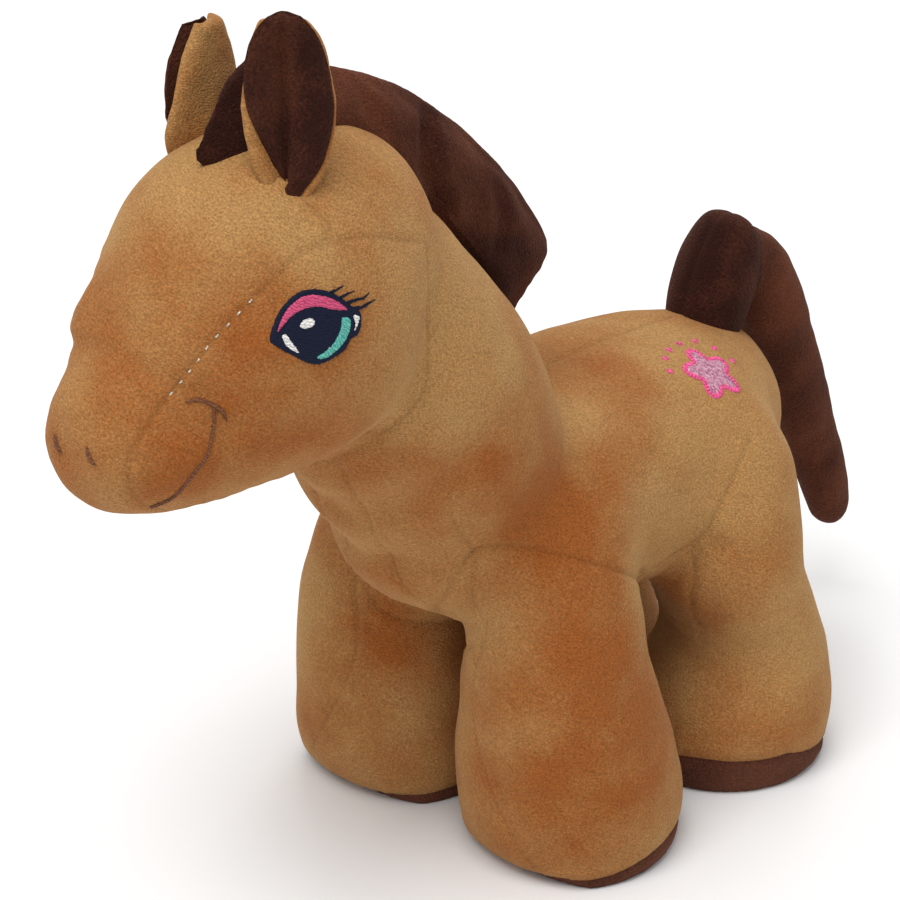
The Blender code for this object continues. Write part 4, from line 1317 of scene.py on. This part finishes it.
for side, mirror in (("left", False), ("right", True)):
    fields = [EYE_GROUND, *(ribbon(*lash) for lash in EYE_LASHES)]
    ground = embroidered(f"eye_ground_{side}_thread", fields, 0.1, 0.45, mirror, soft=1.4)
    lid = embroidered(f"eyelid_{side}_thread", [EYE_LID], 0.45, 0.35, mirror)
    arc = embroidered(f"eye_arc_{side}_thread", [EYE_ARC], 0.45, 0.3, mirror)
    fields = [*EYE_WHITES, ribbon(*EYE_GLINT)]
    whites = embroidered(f"eye_white_{side}_thread", fields, 0.45, 0.35, mirror, step=0.9)
    sewn_on(ground, "head", f"eye_ground_{side}")
    sewn_on(lid, "head", f"eyelid_{side}")
    sewn_on(arc, "head", f"eye_arc_{side}")
    sewn_on(whites, "head")
print("eye fields:", len(embroidery))

# %% [markdown]
# The smile and the nostrils.
#
# Each is one run of brown thread. The smile starts with a short tick in the cheek, turns down, and
# ends under the chin. The nostrils are two short bars on the front of the muzzle.

# %% Embroider the mouth and the nostrils
SMILE = (
    (214, 406), (214, 416), (213.5, 426), (211, 440), (207, 455), (197, 469), (186, 483), (174, 496),
    (163, 502), (150, 507),
)
SMILE_WIDTHS = (3.8, 3.0, 2.7, 2.7, 2.5, 2.0)
TICK = ((185, 402.5), (192, 400.5), (201, 400), (210, 403.5), (218, 408), (224, 413.5), (226.5, 421))
TICK_WIDTHS = (1.4, 2.8, 3.8, 4.4, 3.8, 1.4)
NOSTRILS = {
    "left": ((87, 447), (88.5, 454), (91.5, 460), (96, 466)),
    "right": ((55.5, 434), (56, 441), (58.5, 448), (62.5, 454)),
}
for side, mirror in (("left", False), ("right", True)):
    fields = [ribbon(TICK, TICK_WIDTHS), ribbon(SMILE, SMILE_WIDTHS)]
    mouth = embroidered(f"mouth_{side}_thread", fields, 0.1, 0.6, mirror, step=0.8, soft=0.9)
    sewn_on(mouth, "head", f"mouth_{side}")
    bar = ribbon(NOSTRILS[side], (1.8, 3.6, 3.2, 1.2))
    nostril = embroidered(f"nostril_{side}_thread", [bar], 0.1, 0.6, step=0.9, soft=1.2)
    sewn_on(nostril, "head", f"nostril_{side}")
print("thread pieces:", len(embroidery))

# %% [markdown]
# A flower on the rump.
#
# It is a patch of glitter cloth held by a raised pink satin border, with a few loose pink stitches
# beside it. Its outline is a rosette: a circle whose radius swings five times round.

# %% Embroider the flower
FLOWER_MIDDLE = (711, 372)
FLOWER_RADIUS = 9.6
PETALS = 5
BORDER_WIDTH = 1.7
middle, out = on_skin(*FLOWER_MIDDLE)
out = Vector(out).normalized()
flower_side = Vector((0, 0, 1)).cross(out).normalized()
flower_up = out.cross(flower_side)


def on_rump(u, v):
    """A spot u mm along and v mm up from the flower's middle, laid on the cloth."""
    spot = middle + (flower_side * u + flower_up * v) * MM
    place, normal, *_ = skin_cloth.ray_cast(spot + out * 20 * MM, -out)
    return place, normal


def rosette(radius, dip=0.2, turn=0.3, steps=60):
    """A closed outline with a dip between each two petals."""
    a = math.tau * np.arange(steps) / steps
    r = radius * (1 + dip * (np.cos(PETALS * a) - 1))
    return np.column_stack((r * np.sin(a + turn), r * np.cos(a + turn)))


loop = rosette(FLOWER_RADIUS)
ring = ribbon(np.vstack((loop, loop[:2])), (BORDER_WIDTH,) * 6)
patch = embroidered(
    "rump_flower_glitter", [rosette(FLOWER_RADIUS - 0.4)], 0.05, 0.3,
    step=0.45, rough=0.0, lay=on_rump, soft=0.5,
)
starts = range(0, len(ring) // 2 - 8, 7)
border = [np.vstack((ring[i:i + 8], ring[len(ring) - i - 8:len(ring) - i])) for i in starts]
SPRIGS = ((-12.5, 8.5), (-8, 12.5), (-2.5, 13.8), (4, 13.2), (10.5, 10.5), (13.5, 5), (14.6, -1.5))
SPRIG_RADII = (1.5, 0.6)
sprigs = []
for i, (u, v) in enumerate(SPRIGS):
    turns = [0.7 * i + math.tau * k / 8 for k in range(8)]
    radii = [SPRIG_RADII[k % 2] for k in range(8)]
    sprigs.append([(u + r * math.cos(a), v + r * math.sin(a)) for r, a in zip(radii, turns)])
flower = embroidered(
    "rump_flower_border", [*border, *sprigs], 0.15, 0.55,
    step=0.34, rough=0.05, lay=on_rump, smooth=False, soft=0.45,
)
sewn_on(flower, "torso", "rump_embroidery")
sewn_on(patch, "torso")
print("flower at", [round(c, 3) for c in middle])

# %% [markdown]
# Basting thread.
#
# White basting shows as short dashes along the nose seam, on both sides of the face. Each dash is a
# short rod of thread whose ends dip into the pile.

# %% Sew the basting along the nose
BASTING = (
    (256, 296), (244, 307), (233, 320), (222, 331), (211, 342), (202, 355), (194, 366), (185, 377),
    (176, 388), (166, 400),
)
BASTING_RADIUS = 0.27 * MM
DASH = (0.3, 0.62)  # shares of each step, where its dash starts and ends


def rod(a, b, out, radius, sides=8):
    """A rod of thread between two places that dips at both its ends."""
    t = np.linspace(0, 1, 9)
    lift = np.sqrt(np.clip(1 - (2 * t - 1) ** 2, 0, 1))
    middle = a + (b - a) * t[:, None] + out * ((lift - 0.55) * radius * 1.4)[:, None]
    ahead = (b - a) / np.linalg.norm(b - a)
    side = np.cross(ahead, out)
    fat = radius * (0.45 + 0.55 * lift)
    points, faces = [middle[0]], []
    for i in range(len(t)):
        for k in range(sides):
            turn = math.tau * k / sides
            points.append(middle[i] + (side * math.cos(turn) + out * math.sin(turn)) * fat[i])
    points.append(middle[-1])
    last = 1 + (len(t) - 1) * sides
    for k in range(sides):
        n = (k + 1) % sides
        faces.append((0, 1 + n, 1 + k))
        for low in range(1, last, sides):
            faces.append((low + k, low + n, low + sides + n, low + sides + k))
        faces.append((last + k, last + n, len(points) - 1))
    return np.array(points), faces


every, faces = [], []
for sign in (1, -1):
    for (u, v), (p, q) in zip(BASTING, BASTING[1:]):
        a, _ = on_skin(u + (p - u) * DASH[0], v + (q - v) * DASH[0])
        b, out = on_skin(u + (p - u) * DASH[1], v + (q - v) * DASH[1])
        a, b, out = (np.array(vector) * (sign, 1, 1) for vector in (a, b, out))
        points, corners = rod(a, b, out, BASTING_RADIUS)
        start = sum(len(p) for p in every)
        every.append(points)
        faces += [tuple(start + i for i in face) for face in corners]
basting = thread_piece("nose_basting", every, faces)
sewn_on(basting, "head")
print("basting stitches:", len(every))

# %% [markdown]
# Colours.
#
# The colours below are read as screen values and turned into linear light, which is what the nodes
# work in.

# %% Name the colours
def linear(*screen):
    """A colour in linear light, with full cover, from its screen values of 0 to 255."""
    light = [c / 255 / 12.92 if c <= 10 else ((c / 255 + 0.055) / 1.055) ** 2.4 for c in screen]
    return (*light, 1.0)


LIGHT_NAP, DARK_NAP = linear(165, 124, 75), linear(144, 82, 35)
LIGHT_BROWN, DARK_BROWN = linear(94, 50, 31), linear(42, 16, 9)
LIGHT_SOLE, DARK_SOLE = linear(96, 56, 40), linear(66, 34, 24)
NAVY, PINK, WHITE = linear(12, 20, 44), linear(196, 76, 114), linear(222, 220, 216)
TEAL, BROWN_THREAD, BASTE = linear(90, 172, 160), linear(116, 74, 50), linear(205, 195, 178)
BORDER = linear(235, 96, 150)
print("light nap", [round(c, 3) for c in LIGHT_NAP])

# %% [markdown]
# Shared effects as node groups.
#
# Each group makes one kind of surface detail from the rest places kept on the meshes, so the pattern
# stays on the cloth when a leg swings. The groups give out colours and heights. The shader stays in
# each material.

# %% A helper that builds node groups
def group(name, inputs, outputs):
    """A new shader node group. Inputs are name, socket type and value; outputs name and type."""
    tree = bpy.data.node_groups.new(name, "ShaderNodeTree")
    for label, kind, value in inputs:
        socket = tree.interface.new_socket(label, in_out="INPUT", socket_type=kind)
        if value is not None:
            socket.default_value = value
    for label, kind in outputs:
        tree.interface.new_socket(label, in_out="OUTPUT", socket_type=kind)
    return tree, tree.nodes.new("NodeGroupInput"), tree.nodes.new("NodeGroupOutput")


def feed(tree, made, inputs):
    """Feed a node's inputs, each from a socket of another node or with a plain value."""
    for label, source in inputs:
        if hasattr(source, "is_output"):
            tree.links.new(source, made.inputs[label])
        else:
            made.inputs[label].default_value = source


def node(tree, kind, inputs=(), **values):
    """Add a node, set its properties, and feed its inputs."""
    made = tree.nodes.new(kind)
    for key, value in values.items():
        setattr(made, key, value)
    feed(tree, made, inputs)
    return made


def maths(tree, operation, a, b=0.0, clamp=False):
    return node(tree, "ShaderNodeMath", ((0, a), (1, b)), operation=operation, use_clamp=clamp).outputs[0]


def noise(tree, place, scale, detail=2.0):
    made = node(tree, "ShaderNodeTexNoise", (("Vector", place), ("Scale", scale), ("Detail", detail)))
    return made.outputs["Fac"]


def spread(tree, value, low, high, to_low=0.0, to_high=1.0):
    made = node(tree, "ShaderNodeMapRange", ((0, value), (1, low), (2, high), (3, to_low), (4, to_high)))
    return made.outputs[0]


def blended(tree, mode, factor, a, b):
    made = node(tree, "ShaderNodeMix", data_type="RGBA", blend_type=mode)
    feed(tree, made, ((0, factor), (6, a), (7, b)))
    return made.outputs[2]


def sine(tree, turns):
    """A sine wave over a count of whole turns."""
    return maths(tree, "SINE", maths(tree, "MULTIPLY", turns, math.tau))


def dimmed(tree, colour, share):
    """The colour times a share."""
    grey = node(tree, "ShaderNodeCombineColor", ((0, share), (1, share), (2, share))).outputs[0]
    return blended(tree, "MULTIPLY", 1.0, colour, grey)


# %% [markdown]
# Brushed nap.
#
# Pile that leans towards the eye looks darker and richer than pile that leans away. A hand drawn
# over short plush leaves soft patches of both. The broad patches are kept on the mesh. The group
# breaks up their edges, adds the flicker of single tufts and the ribs of the knit, and paints
# shade into the cloth along each seam's groove.

# %% Make the nap group
WALES = (250.0, 330.0, 1176.0)  # ribs in a metre along x, y and z
TUFTS = 1700.0  # in a metre
nap_group, entry, leave = group(
    "brushed nap",
    (("Place", "NodeSocketVector", None), ("Nap", "NodeSocketFloat", 0.5),
     ("Seam gap", "NodeSocketFloat", 30.0), ("Light", "NodeSocketColor", LIGHT_NAP),
     ("Dark", "NodeSocketColor", DARK_NAP)),
    (("Color", "NodeSocketColor"),),
)
place = entry.outputs["Place"]
soft = spread(nap_group, noise(nap_group, place, 70.0, 3.0), 0.3, 0.7, -0.22, 0.22)
fine = spread(nap_group, noise(nap_group, place, 1100.0, 2.0), 0.3, 0.7, -0.16, 0.16)
lean = maths(nap_group, "ADD", entry.outputs["Nap"], soft)
lean = maths(nap_group, "ADD", lean, fine, clamp=True)
colour = blended(nap_group, "MIX", lean, entry.outputs["Light"], entry.outputs["Dark"])
# Painted shade: the colour drops to 0.84 at a seam's middle and is full again a millimetre away, as shade in
# the groove.
seam_shade = spread(nap_group, entry.outputs["Seam gap"], 0.0, 1.0, 0.84, 1.0)
flicker = spread(nap_group, noise(nap_group, place, TUFTS, 3.0), 0.3, 0.7, 0.7, 1.3)
ribs = node(nap_group, "ShaderNodeVectorMath", ((0, place), (1, WALES)), operation="DOT_PRODUCT")
wander = maths(nap_group, "MULTIPLY", noise(nap_group, place, 90.0, 1.0), 12.0)
ribs = sine(nap_group, maths(nap_group, "ADD", ribs.outputs["Value"], wander))
ribs = spread(nap_group, ribs, -1, 1, 0.94, 1.06)
share = maths(nap_group, "MULTIPLY", maths(nap_group, "MULTIPLY", seam_shade, flicker), ribs)
nap_group.links.new(dimmed(nap_group, colour, share), leave.inputs["Color"])
print("nap group:", len(nap_group.nodes), "nodes")

# %% [markdown]
# Pile.
#
# Plush is knitted, so its short pile stands in fine ribs, or wales, a little under a millimetre
# apart, broken by single tufts.

# %% Make the pile group
pile_group, entry, leave = group(
    "pile",
    (("Place", "NodeSocketVector", None), ("Wale", "NodeSocketFloat", 0.4)),
    (("Height", "NodeSocketFloat"),),
)
place = entry.outputs["Place"]
split = node(pile_group, "ShaderNodeSeparateXYZ", ((0, place),))
up = maths(pile_group, "MULTIPLY", split.outputs["Z"], WALES[2])
back = maths(pile_group, "MULTIPLY", split.outputs["Y"], WALES[1])
wander = maths(pile_group, "MULTIPLY", noise(pile_group, place, 120.0, 1.0), 14.0)
turns = maths(pile_group, "ADD", maths(pile_group, "ADD", up, back), wander)
wave = maths(pile_group, "MULTIPLY", sine(pile_group, turns), entry.outputs["Wale"])
tufts = spread(pile_group, noise(pile_group, place, 1500.0, 2.0), 0.25, 0.75)
height = maths(pile_group, "ADD", tufts, maths(pile_group, "MULTIPLY", wave, 0.35))
pile_group.links.new(height, leave.inputs["Height"])
print("pile group:", len(pile_group.nodes), "nodes")

# %% [markdown]
# Thread.
#
# Satin stitch is thread laid side by side, so it shows fine parallel ridges that catch the light.
# The colour is also painted lighter on each ridge and darker between them: painted highlight and
# shade over the ridges' bump.

# %% Make the thread group
RIDGES = 1300.0  # in a metre
thread_group, entry, leave = group(
    "satin thread",
    (("Place", "NodeSocketVector", None), ("Across", "NodeSocketVector", (0.0, 0.0, 1.0)),
     ("Thread", "NodeSocketColor", NAVY)),
    (("Color", "NodeSocketColor"), ("Height", "NodeSocketFloat")),
)
place = entry.outputs["Place"]
ways = ((0, place), (1, entry.outputs["Across"]))
across = node(thread_group, "ShaderNodeVectorMath", ways, operation="DOT_PRODUCT").outputs["Value"]
wobble = maths(thread_group, "MULTIPLY", noise(thread_group, place, 900.0, 1.0), 2.2)
ridge = maths(thread_group, "ADD", maths(thread_group, "MULTIPLY", across, RIDGES), wobble)
ridge = spread(thread_group, sine(thread_group, ridge), -1, 1)
# Painted highlight and shade: the thread's colour runs from 0.6 in the troughs to 1.2 on the ridges.
ridge_light_and_shade = spread(thread_group, ridge, 0.0, 1.0, 0.6, 1.2)
thread_group.links.new(dimmed(thread_group, entry.outputs["Thread"], ridge_light_and_shade), leave.inputs["Color"])
thread_group.links.new(ridge, leave.inputs["Height"])
print("thread group:", len(thread_group.nodes), "nodes")

# %% [markdown]
# Plush materials.
#
# Plush scatters light at grazing angles, so every outline glows a little. Sheen does that. The rest
# is very rough.

# %% Make the plush materials
def attribute(tree, name, output):
    return node(tree, "ShaderNodeAttribute", attribute_name=name).outputs[output]


def new_material(name):
    """A material, its node tree and its shader."""
    material = bpy.data.materials.new(name)
    material.use_nodes = True
    return material, material.node_tree, material.node_tree.nodes["Principled BSDF"]


def embossed(tree, height, strength, distance):
    """The shading direction of a surface with a relief, whose distance is in mm."""
    inputs = (("Strength", strength), ("Distance", distance * MM), ("Height", height))
    return node(tree, "ShaderNodeBump", inputs).outputs["Normal"]


def plush(name, light, dark, sheen, tint, relief, wale):
    """A plush material, from the colours of its nap, its sheen and its pile."""
    material, tree, shader = new_material(name)
    rest = attribute(tree, "place", "Vector")
    colour = node(tree, "ShaderNodeGroup", node_tree=nap_group)
    feed(tree, colour, (
        ("Place", rest),
        ("Nap", attribute(tree, "nap", "Fac")),
        ("Seam gap", attribute(tree, "seam_gap", "Fac")),
        ("Light", light),
        ("Dark", dark),
    ))
    height = node(tree, "ShaderNodeGroup", node_tree=pile_group)
    feed(tree, height, (("Place", rest), ("Wale", wale)))
    feed(tree, shader, (
        ("Base Color", colour.outputs["Color"]),
        ("Normal", embossed(tree, height.outputs["Height"], relief, 0.5)),
        ("Roughness", 0.92),
        ("Specular IOR Level", 0.15),
        ("Sheen Weight", sheen),
        ("Sheen Roughness", 0.45),
        ("Sheen Tint", tint),
    ))
    return material


tan_plush = plush("tan plush", LIGHT_NAP, DARK_NAP, 0.22, linear(255, 214, 160), 0.45, 0.5)
dark_plush = plush("dark brown plush", LIGHT_BROWN, DARK_BROWN, 0.12, linear(220, 140, 105), 0.9, 0.15)
sole_plush = plush("sole plush", LIGHT_SOLE, DARK_SOLE, 0.12, linear(225, 150, 115), 0.8, 0.2)
for name, piece in {**panels, **mane_panels, **tail_panels, **ear_pieces}.items():
    brown = any(word in name for word in ("mane", "tail", "lining"))
    material = sole_plush if "sole" in name else dark_plush if brown else tan_plush
    piece.data.materials.clear()
    piece.data.materials.append(material)
print("plush materials: 3")

# %% [markdown]
# Thread and glitter materials.
#
# Each colour of thread is one material with the same ridges. The flower's patch is covered in small
# flakes, each with a shade and a shine of its own.

# %% Make the thread and glitter materials
def thread(name, colour, across=(0.2, 0.3, 1.0)):
    """A thread material. Its ridges follow each other along the way across."""
    material, tree, shader = new_material(name)
    satin = node(tree, "ShaderNodeGroup", node_tree=thread_group)
    rest = attribute(tree, "place", "Vector")
    feed(tree, satin, (("Place", rest), ("Across", across), ("Thread", colour)))
    feed(tree, shader, (
        ("Base Color", satin.outputs["Color"]),
        ("Normal", embossed(tree, satin.outputs["Height"], 0.5, 0.2)),
        ("Roughness", 0.55),
        ("Specular IOR Level", 0.15),
    ))
    return material


THREADS = {
    "eye_ground": thread("navy thread", NAVY), "eyelid": thread("pink thread", PINK),
    "eye_arc": thread("teal thread", TEAL, (0.0, 0.8, 0.6)), "eye_white": thread("white thread", WHITE),
    "mouth": thread("brown thread", BROWN_THREAD), "rump_flower_border": thread("bright pink thread", BORDER),
}
THREADS["nostril"] = THREADS["mouth"]
THREADS["basting"] = thread("basting thread", BASTE)
FLAKES = 1700.0  # in a metre
glitter, tree, shader = new_material("lilac glitter cloth")
rest = attribute(tree, "place", "Vector")
flakes = node(tree, "ShaderNodeTexVoronoi", (("Vector", rest), ("Scale", FLAKES)))
chance = node(tree, "ShaderNodeSeparateColor", ((0, flakes.outputs["Color"]),)).outputs
feed(tree, shader, (
    ("Base Color", blended(tree, "MIX", chance[0], linear(150, 90, 112), linear(226, 168, 190))),
    ("Normal", embossed(tree, flakes.outputs["Distance"], 0.6, 0.2)),
    ("Roughness", spread(tree, chance[1], 0.0, 1.0, 0.25, 0.8)),
    ("Metallic", 0.35),
))
for name, piece in embroidery.items():
    kind = next((k for k in THREADS if name.startswith(k)), None)
    piece.data.materials.clear()
    piece.data.materials.append(THREADS[kind] if kind else glitter)
basting.data.materials.append(THREADS["basting"])
print("thread materials:", len(THREADS))

# %% [markdown]
# The studio.
#
# The horse stands on a pale floor in an even white room. One broad light from the front left and a
# weaker one from behind give the soft shading of a product picture.

# %% Floor and light
floor = link("floor", mesh_of("floor", [(-3, -3, 0), (3, -3, 0), (3, 3, 0), (-3, 3, 0)], [(0, 1, 2, 3)]))
paper, tree, shader = new_material("white paper")
feed(tree, shader, (("Base Color", (0.9, 0.9, 0.9, 1)), ("Roughness", 0.9)))
floor.data.materials.append(paper)


def lamp(name, place, size, power, aim=(0, 0, 0.12)):
    data = bpy.data.lights.new(name, "AREA")
    data.size, data.energy = size, power
    made = bpy.data.objects.new(name, data)
    bpy.context.scene.collection.objects.link(made)
    made.location = place
    made.rotation_euler = (Vector(aim) - Vector(place)).to_track_quat("-Z", "Y").to_euler()
    return made


key = lamp("key light", (0.25, -0.75, 1.7), 1.1, 23.0)
rim_light = lamp("back light", (-0.7, 0.9, 1.3), 0.9, 6.0)
world = bpy.data.worlds.new("white room")
world.use_nodes = True
room = world.node_tree
feed(room, room.nodes["Background"], (("Color", (1, 1, 1, 1)), ("Strength", 0.62)))
bpy.context.scene.world = world
bpy.context.scene.view_settings.view_transform = "Standard"
print("lights: 2")
